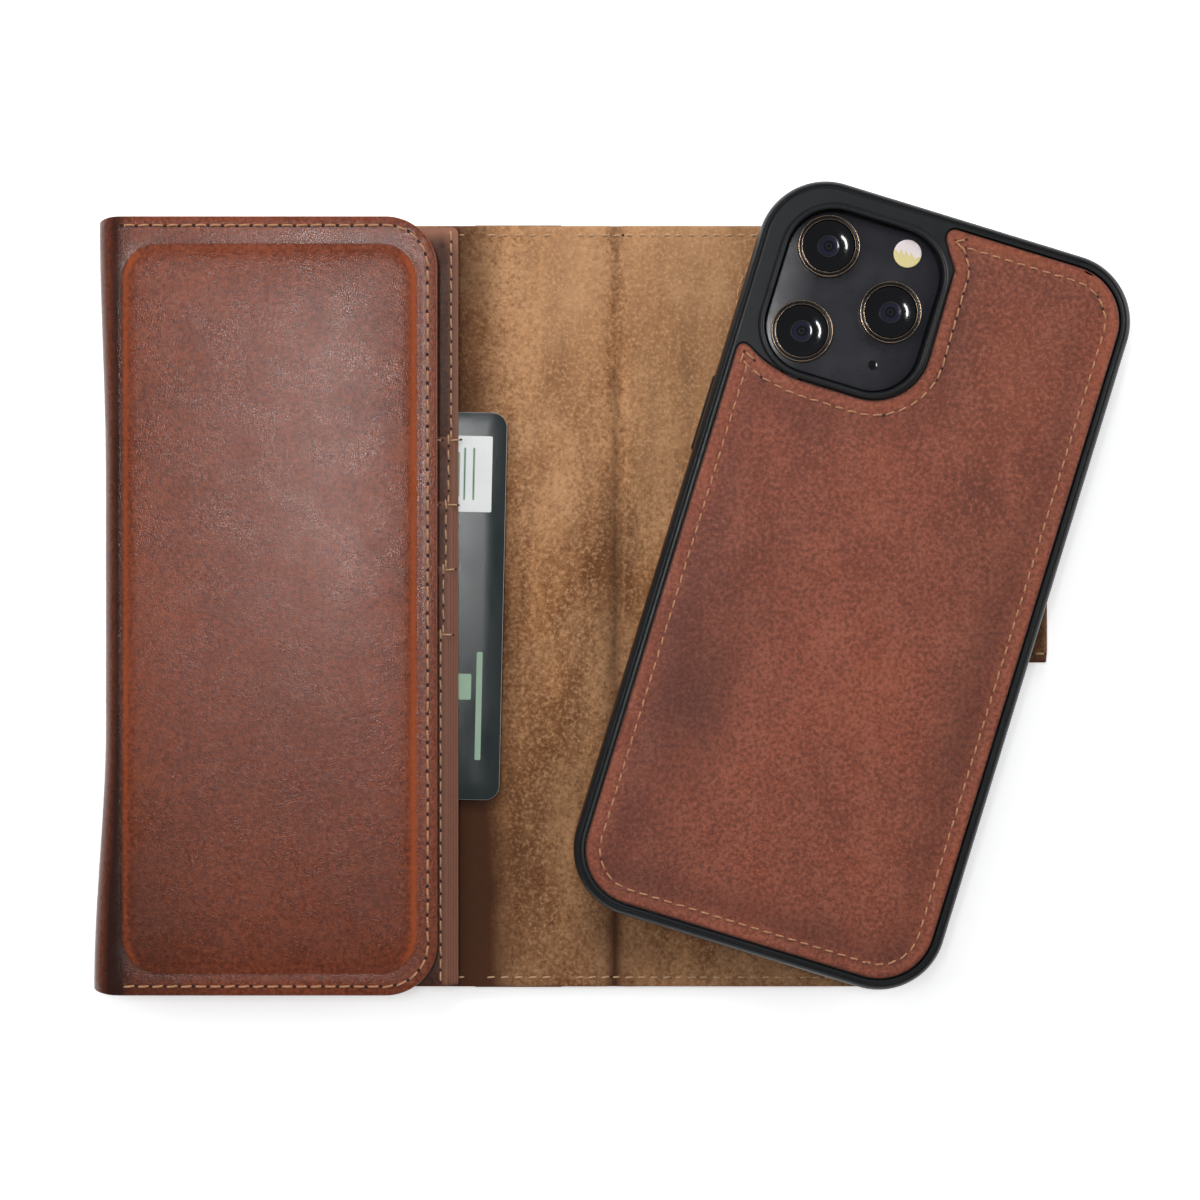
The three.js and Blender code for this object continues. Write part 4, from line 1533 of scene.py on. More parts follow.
class LowerRoll:
    """The lower half of the rolled edge, from the front panel up to half height."""

    def __init__(self, roll: EdgeRoll, finishes: Finishes) -> None:
        """Keeps what build needs."""
        self.roll = roll
        self.finishes = finishes

    def tone(self, points: Points) -> Points:
        """Shade: burnished towards the outside of the round."""
        past = self.roll.start - points[:, 0]
        return -0.5 * smooth(past, 1, 4) + 0.15 * ripple(points, 12, 1.4)

    def build(self) -> None:
        """Makes the lower round."""
        roll = self.roll
        left = roll.start - roll.arc()
        right = roll.start + roll.SEAM_IN - roll.START_IN
        outline = rounded_rect(left, right, roll.y0, roll.y1, (0, 0, 0, 0), 1.1)
        solid = plate(
            outline, level(roll.thick), level(0.02), EdgeStyle.ROUNDED,
            columns=np.linspace(left + 0.4, roll.start - 0.3, 15),
            free=lambda points: smooth(
                np.minimum(points[:, 0] - left, right - points[:, 0]), 0.02, 0.5
            ),
        )
        piece = solid.object(
            "edge_round", [self.finishes.cover, self.finishes.cover_edge],
            reshape=roll.turn_up, tone=self.tone,
        )
        bend(
            piece, ("front_panel", "edge_fold"),
            ["edge_fold_leather", "edge_fold_lining"],
        )


# ---------- card pockets, card and strap ----------


class Pockets:
    """The side pocket's facing and the four staggered card pockets."""

    def __init__(self, finishes: Finishes, stitcher: Stitcher) -> None:
        """Keeps what build needs."""
        self.finishes = finishes
        self.stitcher = stitcher
        self.edge_in = 1.6  # from a pocket's side edge to its stitches

    def build(self) -> None:
        """Makes the backing and the pockets, and sews their side edges."""
        names = ["pocket_backing", *(f"card_pocket_{k}" for k in range(1, 5))]
        boxes = [extent(name) for name in names]
        for index, (name, box) in enumerate(zip(names, boxes)):
            outline = rounded_rect(box.x0, box.x1, box.y0, box.y1, (0, 0.8, 1.4, 0), 1.4)
            tilt = 0.05 * index

            def top(points: Points, box: Extent = box, tilt: float = tilt) -> Points:
                """Height of the pocket's face, a little proud at its mouth."""
                proud = 0.06 * np.exp(-(((box.y1 - points[:, 1]) / 1.6) ** 2))
                return box.z1 - 0.02 + proud * (tilt > 0) + 0.03 * ripple(points, 11, tilt * 20)

            def tone(points: Points, box: Extent = box) -> Points:
                """Shade: paler along the edges that catch the light, and at the head."""
                side = box.x1 - points[:, 0]
                edge = np.exp(-((side / 0.45) ** 2)) + np.exp(-(((box.y1 - points[:, 1]) / 0.5) ** 2))
                head = 0.8 * smooth(points[:, 1], 74, 80)
                return 0.75 * edge + head - 0.35 * np.exp(-(((side - 4) / 1.6) ** 2))

            piece = plate(
                outline, top, level(box.z0), EdgeStyle.THIN, grid=3.2
            ).object(f"{name}_leather", [self.finishes.facing, self.finishes.facing_edge], tone=tone)
            attach(piece, "front_panel", [name])
        self.sew(boxes)

    def sew(self, boxes: Sequence[Extent]) -> None:
        """Sews down each pocket's side edge, with a short return at each mouth."""
        lines = []
        for index, box in enumerate(boxes):
            low = boxes[index + 1].y1 if index + 1 < len(boxes) else box.y0 + 1.8
            high = box.y1 - (1.8 if index == 0 else 0.6)
            x = box.x1 - self.edge_in
            z = box.z1 + 0.03
            lines.append(np.array([[x, high, z], [x, low + 0.4, z]]))
            if index:
                lines.append(np.array([[x - 2.6, box.y1 - 0.75, z], [box.x1 - 0.2, box.y1 - 0.75, z]]))
        style = StitchStyle(2.75, 1.95, 0.4, 0.3, 0.03)
        sewn = self.stitcher.sew(
            "pocket_stitches", lines, style, self.finishes.thread_pale, self.finishes.hole
        )
        attach(sewn, "front_panel")


@dataclass
class BankCard:
    """A plain bank card that stands out of the side pocket."""

    finishes: Finishes
    width: float = 53.98
    height: float = 85.6
    radius: float = 3.18
    turn_deg: float = -1.26

    def marks(self) -> list[tuple[float, float, float, float, int]]:
        """Plain patches printed on the face: x0, x1, y0, y1 and finish number."""
        return [
            (13.5, 23.9, 20.8, 37.6, 2),
            (21.4, 22.7, -34.0, -10.1, 3),
            (15.7, 16.8, 24.1, 34.0, 3),
            (15.7, 16.8, 7.5, 17.5, 3),
            (15.3, 20.3, -20.7, -15.0, 3),
            (17.6, 18.1, 23.4, 35.0, 3),
            (19.6, 20.1, 23.4, 35.0, 3),
        ]

    def build(self) -> None:
        """Makes the card with its patches."""
        box = extent("bank_card")
        centre = np.array([(box.x0 + box.x1) / 2, (box.y0 + box.y1) / 2])
        turn = math.radians(self.turn_deg)
        w, h, r = self.width / 2, self.height / 2, self.radius
        solid = plate(
            rounded_rect(-w, w, -h, h, (r, r, r, r), 1.0), level(box.z1), level(box.z0),
            EdgeStyle.THIN, grid=4,
        )
        for x0, x1, y0, y1, finish in self.marks():
            outline = rounded_rect(x0, x1, y0, y1, (0.3, 0.3, 0.3, 0.3), 2.0)
            base = solid.ring(outline, box.z1 - 0.01)
            face = solid.ring(outline, box.z1 + (0.02 if finish == 2 else 0.035))
            solid.wall(base, face, finish)
            solid.faces.append(tuple(face))
            solid.finishes.append(finish)
            solid.faces.append(tuple(base[::-1]))
            solid.finishes.append(finish)

        def lay(points: Points) -> Points:
            """Turns the card as it lies in the pocket."""
            moved = points.copy()
            c, s = math.cos(turn), math.sin(turn)
            moved[:, 0] = centre[0] + c * points[:, 0] - s * points[:, 1]
            moved[:, 1] = centre[1] + s * points[:, 0] + c * points[:, 1]
            return moved

        f = self.finishes
        piece = solid.object("plain_bank_card", [f.card, f.card_edge, f.label, f.print], reshape=lay)
        attach(piece, "card", ["bank_card"])


class Strap:
    """The closing strap, sewn into the back panel and folded under itself."""

    def __init__(self, finishes: Finishes, stitcher: Stitcher) -> None:
        """Reads the strap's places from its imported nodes."""
        self.finishes = finishes
        self.stitcher = stitcher
        self.side = extent("strap_side_lining")
        self.low = extent("strap_side_leather")
        self.tab = extent("strap_tab_lining")
        self.tab_top = extent("strap_tab_leather").z1
        self.anchor = extent("strap_anchor")
        self.hinge = self.side.x0
        self.fold = self.side.x1
        self.joint_x = self.hinge + 11  # where the two pieces of the strap meet
        self.side_mid = (self.side.z1 + self.low.z0) / 2
        self.side_half = (self.side.z1 - self.low.z0) / 2
        self.tab_mid = self.tab_top / 2 + 0.01
        self.radius = (self.side_mid - self.tab_mid) / 2

    def half(self, points: Points) -> Points:
        """Half the strap's thickness along its length."""
        s = points[:, 0]
        thin = (self.anchor.z1 - self.anchor.z0) / 2
        grown = thin + (self.side_half - thin) * smooth(s, self.hinge + 0.1, self.hinge + 3)
        bend_end = self.fold + math.pi * self.radius
        return grown + (self.tab_top / 2 - 0.02 - self.side_half) * smooth(s, bend_end, bend_end + 2.5)

    def follow(self, points: Points) -> Points:
        """Lays the flat strap along its path: out of the panel, along, and back underneath."""
        s, y, t = points[:, 0], points[:, 1], points[:, 2]
        anchor_mid = (self.anchor.z0 + self.anchor.z1) / 2
        rise = smooth(s, self.hinge + 0.1, self.hinge + 3)
        centre = anchor_mid + (self.side_mid - anchor_mid) * rise
        length = math.pi * self.radius
        angle = np.clip((s - self.fold) / length, 0, 1) * math.pi
        beyond = np.maximum(s - self.fold - length, 0)
        middle_z = (self.side_mid + self.tab_mid) / 2
        bent = s > self.fold
        x = np.where(bent, self.fold + (self.radius + t) * np.sin(angle) - beyond, s)
        z = np.where(bent, middle_z + (self.radius + t) * np.cos(angle), centre + t)
        return np.column_stack([x, y, z])

    def tone(self, points: Points) -> Points:
        """Shade: worn darker at the edges and the fold, and darker all over as painted shade beneath the case."""
        edge = np.minimum(points[:, 1] - self.side.y0, self.side.y1 - points[:, 1])
        # The constant -0.5 is painted shade beneath the snap case; the edge term is wear.
        worn_and_shade = -0.35 * np.exp(-((edge / 1.4) ** 2)) - 0.5
        return worn_and_shade - 0.2 * np.exp(-(((points[:, 0] - self.fold - 1) / 2.5) ** 2))

    def strip(self, name: str, s0: float, s1: float, radii: Sequence[float]) -> bpy.types.Object:
        """Makes one length of the strap.

        Args:
            name: the object's name.
            s0: where it starts along the strap.
            s1: where it ends.
            radii: its corner radii in the flat.

        Returns:
            The piece, laid along the strap's path.
        """
        fold = np.linspace(self.fold - 0.3, self.fold + math.pi * self.radius + 0.3, 13)
        columns = fold if s1 > self.fold else self.hinge + np.linspace(-0.5, 5, 11)
        hidden = self.joint_x
        f = self.finishes
        return plate(
            rounded_rect(s0, s1, self.side.y0, self.side.y1, radii, 1.0),
            self.half, lambda points: -self.half(points), EdgeStyle.ROUNDED, columns=columns, grid=2.0,
            free=lambda points: smooth(np.abs(points[:, 0] - hidden), 0.02, 0.5), under_finish=2,
        ).object(name, [f.suede, f.suede_edge, f.cover], reshape=self.follow, tone=self.tone)

    def build(self) -> None:
        """Makes the strap's root and its folded end, with stitches along both edges."""
        end = self.fold + math.pi * self.radius + (self.tab.x1 - self.tab.x0)
        root = self.strip("strap_root", self.anchor.x0, self.joint_x, (0, 0, 0, 0))
        bend(
            root, ("back_panel", "strap_side"),
            ["strap_anchor", "strap_side_leather", "strap_side_lining"],
        )
        loop = self.strip("strap_folded_end", self.joint_x, end, (0, 4, 4, 0))
        bend(
            loop, ("strap_side", "strap_tab"),
            ["strap_tab_leather", "strap_tab_lining"],
        )
        style = StitchStyle(2.7, 2.0, 0.4, 0.3, 0.04)
        f = self.finishes
        lines = []
        for y in (self.side.y0 + 2, self.side.y1 - 2):
            flat = densify(np.array([[self.hinge + 5.0, y], [self.fold - 0.6, y]]), 0.8, closed=False)
            lines.append(self.follow(np.column_stack([flat, self.half(flat) + 0.02])))
        sewn = self.stitcher.sew("strap_stitches", lines, style, f.thread_pale, f.hole)
        attach(sewn, "strap_side")
        outline = rounded_rect(
            self.tab.x0 + 2, self.tab.x1 - 0.5, self.tab.y0 + 2, self.tab.y1 - 2, (2.4, 0, 0, 2.4), 0.8
        )
        inner = self.tab.x1 - 0.8
        line = np.roll(outline, -int(np.argmax(outline[:, 0] >= inner)), 0)
        line = line[line[:, 0] < inner]
        under = np.column_stack([line, np.full(len(line), 0.01)])
        sewn = self.stitcher.sew("strap_tab_stitches", [under], style, f.thread_pale, f.hole, math.pi)
        attach(sewn, "strap_tab")


# ---------- the snap case and the phone ----------


@dataclass
class SnapCase:
    """The snap-on case with its leather back, camera lip and keys."""

    place: CaseFrame
    finishes: Finishes
    stitcher: Stitcher
    width: float = 83.45
    height: float = 166.1
    corner: float = 14.8
    low: float = 3.2
    top: float = 14.5
    lip_top: float = 15.1
    recess: float = 13.3
    cavity_roof: float = 12.1
    leather_in: float = 2.7
    camera: tuple[float, float, float, float, float] = (-35.3, -0.5, 40.9, 77.3, 10.5)
    key_z: float = 7.9

    def outline(self) -> Points:
        """The shell's widest outline in the case's own frame."""
        w, h, r = self.width / 2, self.height / 2, self.corner
        return rounded_rect(-w, w, -h, h, (r, r, r, r), 1.2)

    def camera_outline(self) -> Points:
        """The camera opening in the case's own frame."""
        x0, x1, y0, y1, r = self.camera
        return rounded_rect(x0, x1, y0, y1, (r, r, r, r), 1.0)

    def leather_outline(self, grow: float = 0.0) -> Points:
        """The leather back's outline, with the notch that passes round the camera.

        Args:
            grow: how far outside the leather it runs.

        Returns:
            Points, anticlockwise, in the case's own frame.
        """
        w = self.width / 2 - self.leather_in
        h = self.height / 2 - self.leather_in
        r = self.corner - self.leather_in
        turning: list[tuple[float, float]] = []

        def arc(cx: float, cy: float, radius: float, start: float, end: float, count: int = 14) -> None:
            """Adds an arc between two angles in degrees."""
            for angle in np.linspace(math.radians(start), math.radians(end), count):
                turning.append((cx + radius * math.cos(angle), cy + radius * math.sin(angle)))

        def curve(a: tuple, b: tuple, c: tuple, count: int = 10) -> None:
            """Adds a quadratic curve."""
            for t in np.linspace(0, 1, count):
                u = 1 - t
                turning.append(
                    tuple(u * u * a[k] + 2 * u * t * b[k] + t * t * c[k] for k in (0, 1))
                )

        arc(w - r, -h + r, r, -90, 0)
        arc(w - r, h - r, r, 0, 90)
        arc(-0.9, h - 1.8, 1.8, 90, 172, 7)
        curve((-2.5, 77.6), (-1.4, 75.6), (1.2, 71.9))
        arc(1.6 - 12.5, 39.1 + 12.5, 12.5, 0, -90, 14)
        curve((-22.7, 39.1), (-31, 39.4), (-36.4, 42.9))
        arc(-w + 1.4, 41.9, 1.4, 80, 180, 6)
        arc(-w + r, -h + r, r, 180, 270)
        points = densify(np.array(turning), 1.0)
        gap = np.linalg.norm(points - np.roll(points, 1, 0), axis=1)
        points = points[gap > 0.05]
        return inset(points, -grow) if grow else points

    def shell(self) -> Solid:
        """The rubber shell with its grooved rim, leather recess, camera lip and phone cavity."""
        solid = Solid()
        edge = self.outline()
        inner = [(2.375, self.cavity_roof), (2.375, 4.05), (3.675, 3.95)]
        inner += [(3.675, 3.35), (3.4, self.low + 0.02)]
        rounds = [(1.7, self.low), (1.0, 3.28), (0.5, 3.55), (0.15, 4.0), (0.0, 4.7), (0.0, 6.2), (0.0, 9.6)]
        rounds += [(0.0, 12.5), (0.1, 13.2), (0.35, 13.8), (0.7, 14.2), (1.05, 14.42), (1.22, 14.44)]
        rim = [(1.32, 14.2), (1.5, 14.18), (1.62, 14.42), (1.82, self.top), (2.1, self.top)]
        rings = [solid.ring(inset(edge, d), z) for d, z in [*inner, *rounds, *rim]]
        for index, (lower, upper) in enumerate(zip(rings, rings[1:])):
            solid.wall(lower, upper, 1 if index < 3 else 0)
        hole = self.camera_outline()
        lip = [(0.0, 14.6), (0.1, 14.9), (0.3, 15.05), (0.6, self.lip_top), (0.9, 15.04), (1.15, 14.85)]
        lip += [(1.3, 14.62), (1.4, self.top)]
        lip_rings = [solid.ring(inset(hole, -d), z) for d, z in lip]
        for inner_ring, outer_ring in zip(lip_rings, lip_rings[1:]):
            solid.wall(outer_ring, inner_ring, 0)
        roof_hole = solid.ring(hole, self.cavity_roof)
        solid.wall(lip_rings[0], roof_hole, 1)
        leather = self.leather_outline()

        def top(points: Points) -> Points:
            """Height of the shell's back: full height, or the floor of the leather's recess."""
            out = -depth(points, leather)
            return self.recess + (self.top - self.recess) * smooth(out, 0.3, 0.42)

        guides = [self.leather_outline(0.3), self.leather_outline(0.42)]
        solid.fill(rings[-1], top, [lip_rings[-1]], guides, grid=5)
        solid.fill(rings[0], level(self.cavity_roof), [roof_hole], (), grid=8, up=False, finish=1)
        return solid

    def bar(
        self, name: str, side: int, y: float, length: float, tall: float, span: tuple[float, float]
    ) -> bpy.types.Object:
        """A pill-shaped bar that lies across a side wall.

        Args:
            name: its name.
            side: 1 for the right wall, -1 for the left.
            y: its middle along the wall.
            length: its length.
            tall: its height.
            span: from and to, out from the case's middle line.

        Returns:
            The object.
        """
        r = tall / 2 * 0.96
        outline = rounded_rect(-length / 2, length / 2, -tall / 2, tall / 2, (r, r, r, r), 0.7)

        def stand(points: Points) -> Points:
            """Stands the bar in the wall."""
            out, along = side * points[:, 2], y + side * points[:, 0]
            return self.place.place(np.column_stack([out, along, self.key_z + points[:, 1]]))

        def crown(points: Points) -> Points:
            """Height of the bar's face, with a slight crown."""
            return span[1] - 0.14 * (points[:, 1] / (tall / 2)) ** 2

        solid = plate(outline, crown, level(span[0]), EdgeStyle.SOFT, grid=1.4)
        return solid.object(name, [self.finishes.rubber, self.finishes.rubber], reshape=stand)

    def port(self, name: str, x: float, wide: float, tall: float) -> bpy.types.Object:
        """A cutter for an opening in the foot of the shell."""
        r = tall / 2 * 0.9
        outline = rounded_rect(-wide / 2, wide / 2, -tall / 2, tall / 2, (r, r, r, r), 0.8)

        def stand(points: Points) -> Points:
            """Stands the cutter in the foot wall."""
            foot = -self.height / 2 - 1 + points[:, 2]
            return self.place.place(np.column_stack([x - points[:, 0], foot, self.key_z + points[:, 1]]))

        return plate(outline, level(4.6), level(0), EdgeStyle.THIN, grid=3).object(
            name, [self.finishes.rubber_dark, self.finishes.rubber_dark], reshape=stand
        )

    def cut(self, piece: bpy.types.Object, cutters: Sequence[bpy.types.Object]) -> bpy.types.Object:
        """Cuts shapes out of a piece and removes the cutters.

        Args:
            piece: the piece to cut.
            cutters: the shapes.

        Returns:
            The piece, with its mesh cut.
        """
        for cutter in cutters:
            modifier = piece.modifiers.new(cutter.name, "BOOLEAN")
            modifier.operation = "DIFFERENCE"
            modifier.solver = "EXACT"
            modifier.object = cutter
        graph = bpy.context.evaluated_depsgraph_get()
        mesh = bpy.data.meshes.new_from_object(piece.evaluated_get(graph))
        piece.modifiers.clear()
        piece.data = mesh
        mesh.set_sharp_from_angle(angle=math.radians(38))
        for cutter in cutters:
            bpy.data.objects.remove(cutter)
        return piece

    def keys(self) -> list[tuple[str, str, int, float, float]]:
        """Name, body, side, middle and length of each key pad."""
        return [
            ("volume_up_pad", "volume_up", 1, 34, 11),
            ("volume_down_pad", "volume_down", 1, 19.5, 11),
            ("power_pad", "power_key", -1, 27, 17),
        ]

    def build_shell(self) -> None:
        """Makes the shell and the keys that sit in its slots."""
        f = self.finishes
        shell = self.shell().object(
            "case_shell_rubber", [f.rubber, f.rubber_dark], reshape=self.place.place, sharp=42
        )
        cutters = [self.port("charging_port", 0, 12, 5.4), self.port("speaker_left", -21, 15, 3)]
        cutters.append(self.port("speaker_right", 21, 15, 3))
        cutters.append(self.bar("mute_slot", 1, 47, 8, 4, (37.7, 43.0)))
        for name, _, side, y, length in self.keys():
            cutters.append(self.bar(name + "_slot", side, y, length + 0.6, 3.6, (37.7, 43.0)))
        attach(self.cut(shell, cutters), "snap_case", ["case_shell"])
        for name, body, side, y, length in self.keys():
            pad = self.bar(name + "_rubber", side, y, length, 3.0, (39.85, 42.2))
            attach(pad, body, [name])

    def leather_tone(self, points: Points) -> Points:
        """Shade: a pale border outside the stitches, a dark line at them, and worn patches."""
        d = depth(points[:, :2], self.leather_outline())
        x, y = points[:, 0], points[:, 1]
        tone = 0.2 * smooth(d, 0.3, 0.9) * (1 - smooth(d, 2.3, 2.9)) - 0.4 * np.exp(-((d / 0.4) ** 2))
        tone = tone - 0.4 * np.exp(-(((d - 3.2) / 0.6) ** 2)) - 0.25 * np.exp(-(((d - 6) / 4) ** 2))
        patch = 0.3 * np.exp(-(((x + 24) / 9) ** 2 + ((y + 25) / 32) ** 2))
        patch = patch + 0.35 * np.exp(-(((x + 24) / 8) ** 2 + ((y + 36) / 13) ** 2))
        patch = patch + 0.25 * np.exp(-(((x - 31) / 8) ** 2 + ((y + 8) / 28) ** 2))
        patch = patch + 0.22 * smooth(-y, 48, 82)
        return tone - patch + 0.12 * ripple(points, 11, 7.0) + 0.12 * smooth(y, 20, 80)

    def build_leather(self) -> None:
        """Makes the leather back and sews round it."""
        f = self.finishes
        box = extent("case_back_leather")
        outline = self.leather_outline()

        def top(points: Points) -> Points:
            """Height of the leather's face, pressed down a little at the stitches."""
            d = depth(points, outline)
            press = -0.16 * np.exp(-(((d - 3.1) / 0.8) ** 2))
            swell = 0.12 * smooth(d, 3.2, 9) + 0.05 * ripple(points, 10, 2.0) * smooth(d, 3, 7)
            return box.z1 + press + swell

        border = [inset(outline, k) for k in (0.9, 1.7, 2.4)]
        piece = plate(
            outline, top, level(box.z0), EdgeStyle.ROUNDED, guides=border, grid=2.2
        ).object(
            "case_back_hide", [f.case_leather, f.case_leather_edge],
            reshape=self.place.place, tone=self.leather_tone,
        )
        attach(piece, "snap_case", ["case_back_leather"])
        line = inset(outline, 3.1)
        line = np.concatenate([line, line[:1]])
        gap = np.linalg.norm(np.diff(line, axis=0), axis=1)
        line = line[np.concatenate([[True], gap > 0.2])]
        placed = self.place.place(np.column_stack([line, top(line) + 0.03]))
        style = StitchStyle(2.8, 2.05, 0.42, 0.36, 0.06)
        sewn = self.stitcher.sew("case_leather_stitches", [placed], style, f.thread, f.hole)
        attach(sewn, "snap_case")


@dataclass
class Phone:
    """The phone that the case holds: screen, body and cameras."""

    place: CaseFrame
    finishes: Finishes
    camera: tuple[float, float, float, float, float]
    width: float = 78.1
    height: float = 160.8
    corner: float = 12.1
    screen_in: float = 1.25

    def slab(
        self, name: str, outline: Points, z0: float, z1: float, style: EdgeStyle,
        finishes: Sequence[bpy.types.Material],
    ) -> bpy.types.Object:
        """A flat piece of the phone, laid in the case's place."""
        solid = plate(outline, level(z1), level(z0), style, grid=6)
        return solid.object(name, finishes, reshape=self.place.place)

    def build(self) -> None:
        """Makes the screen, the body, the camera plate and what is on it."""
        f = self.finishes
        screen, body, plate_box = extent("phone_screen"), extent("phone_body"), extent("camera_plate")
        w, h, r = self.width / 2, self.height / 2, self.corner
        outline = rounded_rect(-w, w, -h, h, (r, r, r, r), 1.4)
        piece = self.slab("phone_frame", outline, body.z0, body.z1, EdgeStyle.CUSHIONED, [f.phone_metal] * 2)
        attach(piece, "snap_case", ["phone_body"])
        inner = inset(outline, self.screen_in)
        piece = self.slab("phone_screen_glass", inner, screen.z0, screen.z1, EdgeStyle.THIN, [f.screen] * 2)
        attach(piece, "snap_case", ["phone_screen"])
        x0, x1, y0, y1, r = self.camera
        outline = rounded_rect(x0 + 0.3, x1 - 0.3, y0 + 0.3, y1 - 0.3, (r - 0.3,) * 4, 1.0)
        piece = self.slab(
            "camera_plate_glass", outline, plate_box.z0, plate_box.z1, EdgeStyle.ROUNDED, [f.camera_plate] * 2
        )
        attach(piece, "snap_case", ["camera_plate"])
        self.build_lenses()
        self.build_flash()

    def build_lenses(self) -> None:
        """Makes each lens: a black barrel with two fine gold rings, and stepped glass."""
        f = self.finishes
        finishes = [f.lens_black, f.gold, f.lens_glass, f.lens_coating, f.camera_plate]
        for number in (1, 2, 3):
            ring = extent(f"lens_ring_{number}")
            centre = ((ring.x0 + ring.x1) / 2, (ring.y0 + ring.y1) / 2)
            radius = (ring.x1 - ring.x0) / 2
            z = ring.z1
            barrel = [
                (radius - 0.05, ring.z0, 0), (radius, ring.z0 + 0.15, 0), (radius, z - 0.16, 0),
                (radius - 0.05, z - 0.06, 1), (radius - 0.16, z, 1), (radius - 0.24, z - 0.03, 1),
                (radius - 0.3, z - 0.1, 0), (radius - 0.86, z - 0.1, 0), (radius - 0.9, z - 0.07, 1),
                (radius - 0.98, z - 0.07, 1), (radius - 1.04, z - 0.2, 0), (radius - 1.14, z - 1.0, 0),
            ]
            piece = spun(barrel, centre).object(f"lens_barrel_{number}", finishes, sharp=50)
            attach(piece, "snap_case", [f"lens_ring_{number}"])
            face = [
                (5.5, z - 1.05, 0), (5.58, z - 0.5, 2), (5.5, z - 0.4, 2), (2.42, z - 0.4, 2),
                (2.34, z - 0.46, 0), (2.26, z - 0.46, 4), (2.12, z - 0.46, 4), (2.0, z - 0.5, 2),
                (1.2, z - 0.47, 3), (0.62, z - 0.46, 2), (0.5, z - 0.46, 4), (0.42, z - 0.46, 2),
            ]
            piece = spun(face, centre).object(f"lens_front_{number}", finishes, sharp=50)
            attach(piece, "snap_case", [f"lens_glass_{number}"])

    def build_flash(self) -> None:
        """Makes the two-tone flash and the round sensor."""
        f = self.finishes
        box = extent("flash_lens")
        centre = self.place.centre_of("flash_lens")
        radius = (box.x1 - box.x0) / 2
        solid = plate(
            circle(*centre, radius, 40), level(box.z1 + 0.05), level(box.z0), EdgeStyle.THIN,
            guides=[circle(*centre, radius - 0.5, 32)], grid=0.9,
        )
        points = solid.all_points()
        for index, face in enumerate(solid.faces):
            high = points[list(face), 1].mean() > centre[1]
            solid.finishes[index] = 1 if high else 0
        piece = solid.object("flash_window", [f.flash_warm, f.flash_cool], reshape=self.place.place)
        attach(piece, "snap_case", ["flash_lens"])
        box = extent("depth_sensor")
        middle = ((box.x0 + box.x1) / 2, (box.y0 + box.y1) / 2)
        profile = [(0.95, box.z0, 0), (1.05, box.z0 + 0.06, 1), (0.98, box.z1, 1), (0.85, box.z1, 0)]
        profile += [(0.7, box.z1 - 0.06, 2), (0.3, box.z1 - 0.02, 2)]
        finishes = [f.lens_black, f.camera_plate, f.lens_glass]
        piece = spun(profile, middle, 40).object("sensor_window", finishes)
        attach(piece, "snap_case", ["depth_sensor"])


# ---------- hidden pieces, light and camera ----------


def dress_hidden(finishes: Finishes) -> None:
    """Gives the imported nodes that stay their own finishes.

    Args:
        finishes: the wallet's finishes.
    """
    kept = {
        "back_panel_board": finishes.board,
        "spine_interlining": finishes.cover_edge,
        "front_panel_board": finishes.board,
        "strap_tab_stiffener": finishes.board,
        "back_panel_steel_plate": finishes.steel,
        "catch_plate": finishes.steel,
        "strap_tab_magnet": finishes.magnet,
        "side_pocket_rim": finishes.facing,
        "case_inner_lining": finishes.microfibre,
    }
    kept.update({f"case_magnet_{k}": finishes.magnet for k in range(1, 5)})
    for name, material in kept.items():
        node = frame["nodes"][name]
        if not node.material_slots:
            node.data.materials.append(material)
        for slot in node.material_slots:
            slot.material = material
        log.info("%s keeps its packed shape", name)


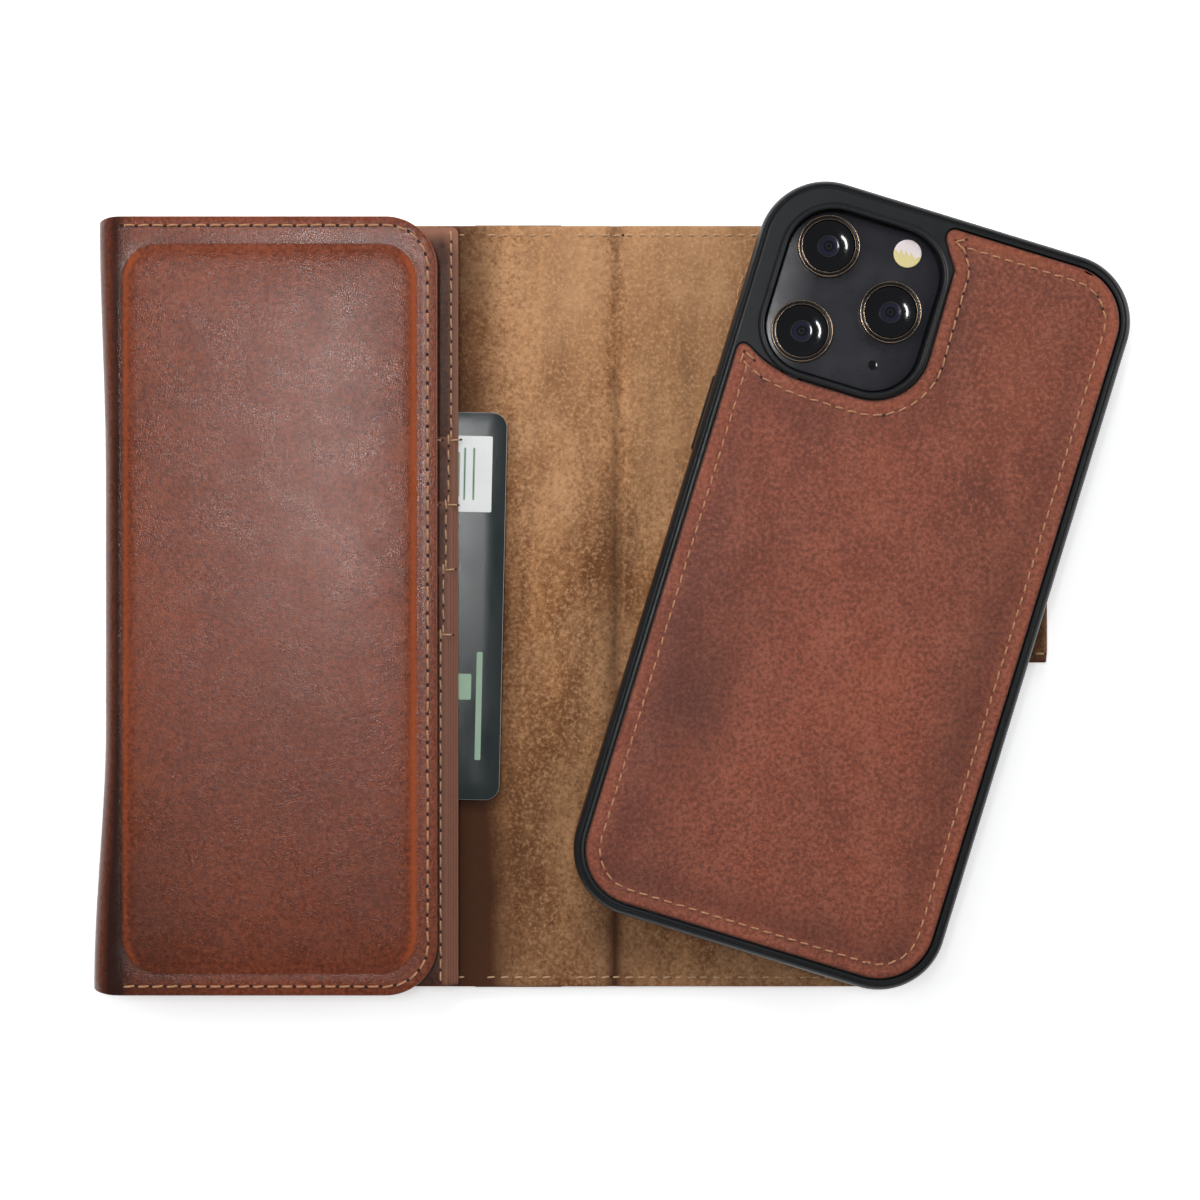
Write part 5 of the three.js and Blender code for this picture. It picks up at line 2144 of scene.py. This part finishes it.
@dataclass
class Studio:
    """Plain floor, soft lights and the camera straight above."""

    camera_at: tuple[float, float, float] = (-2.56, -2.14, 500.0)
    lens: float = 67.2
    floor_half: float = 6000.0
    floor_z: float = -0.2

    def floor(self) -> None:
        """Lays the pale floor."""
        h, z = self.floor_half * MM, self.floor_z * MM
        mesh = bpy.data.meshes.new("floor")
        corners = [(-h, -h, z), (h, -h, z), (h, h, z), (-h, h, z)]
        mesh.from_pydata(corners, [], [(0, 1, 2, 3)])
        bench = Bench("pale floor", Specular_IOR_Level=0.1, Emission_Strength=0.45)
        bench.shader.inputs["Emission Color"].default_value = (1, 1, 1, 1)
        shade = bench.noise(bench.place(), 60, 2)
        ground = bench.blend(shade, colour(247, 247, 247), colour(250, 250, 250))
        mesh.materials.append(bench.dress(ground, 0.9))
        plane = bpy.data.objects.new("floor", mesh)
        bpy.context.scene.collection.objects.link(plane)

    def lamp(
        self, name: str, at: tuple, size: tuple[float, float], power: float,
        aim: tuple = (0, 0, 0), shines: bool = True,
    ) -> None:
        """Hangs a soft light that faces a point.

        Args:
            name: the light's name.
            at: its place in metres.
            size: its width and height in metres.
            power: watts.
            aim: the point it faces.
            shines: whether glossy faces show its reflection.
        """
        data = bpy.data.lights.new(name, "AREA")
        data.shape = "RECTANGLE"
        data.size, data.size_y = size
        data.energy = power
        light = bpy.data.objects.new(name, data)
        light.location = at
        light.visible_glossy = shines
        light.rotation_euler = (Vector(aim) - Vector(at)).to_track_quat("-Z", "Y").to_euler()
        bpy.context.scene.collection.objects.link(light)

    def build(self) -> None:
        """Sets the floor, the lights, the surroundings and the camera."""
        self.floor()
        self.lamp("window light", (-0.154, 0.12, 0.9), (0.07, 0.26), 1.6, aim=(-0.154, 0.12, 0))
        self.lamp("left light", (-1.5, 0.4, 0.75), (1.0, 1.0), 13.0, shines=False)
        self.lamp("right light", (1.5, 0.4, 0.75), (1.0, 1.0), 11.0)
        self.lamp("head light", (-0.1, 0.75, 0.55), (0.8, 0.4), 4.5, shines=False)
        self.lamp("foot light", (0.1, -1.5, 0.7), (1.2, 0.8), 2.0)
        world = bpy.data.worlds.new("studio")
        world.use_nodes = True
        background = world.node_tree.nodes["Background"]
        background.inputs["Color"].default_value = (0.93, 0.96, 1.0, 1.0)
        background.inputs["Strength"].default_value = 0.15
        bpy.context.scene.world = world
        bpy.context.scene.view_settings.view_transform = "Standard"
        lens = bpy.data.cameras.new("camera")
        lens.lens = self.lens
        lens.sensor_width = 36.0
        lens.clip_start = 0.01
        camera = bpy.data.objects.new("camera", lens)
        camera.location = Vector(self.camera_at) * MM
        bpy.context.scene.collection.objects.link(camera)
        bpy.context.scene.camera = camera


def main() -> None:
    """Builds every piece in order."""
    logging.basicConfig(level=logging.INFO, format="%(name)s: %(message)s")
    place = CaseFrame()
    finishes = Finishes(place.turn)
    stitcher = Stitcher()
    covers = Covers(FoldLines(), finishes, stitcher)
    covers.build_linings()
    covers.build_covers()
    covers.build_stitches()
    roll = EdgeRoll()
    LowerRoll(roll, finishes).build()
    Pockets(finishes, stitcher).build()
    BankCard(finishes).build()
    Flap(roll, finishes, stitcher).build()
    Strap(finishes, stitcher).build()
    case = SnapCase(place, finishes, stitcher)
    case.build_shell()
    case.build_leather()
    Phone(place, finishes, case.camera).build()
    dress_hidden(finishes)
    Studio().build()
    bpy.context.view_layer.update()


if __name__ == "__main__":
    main()
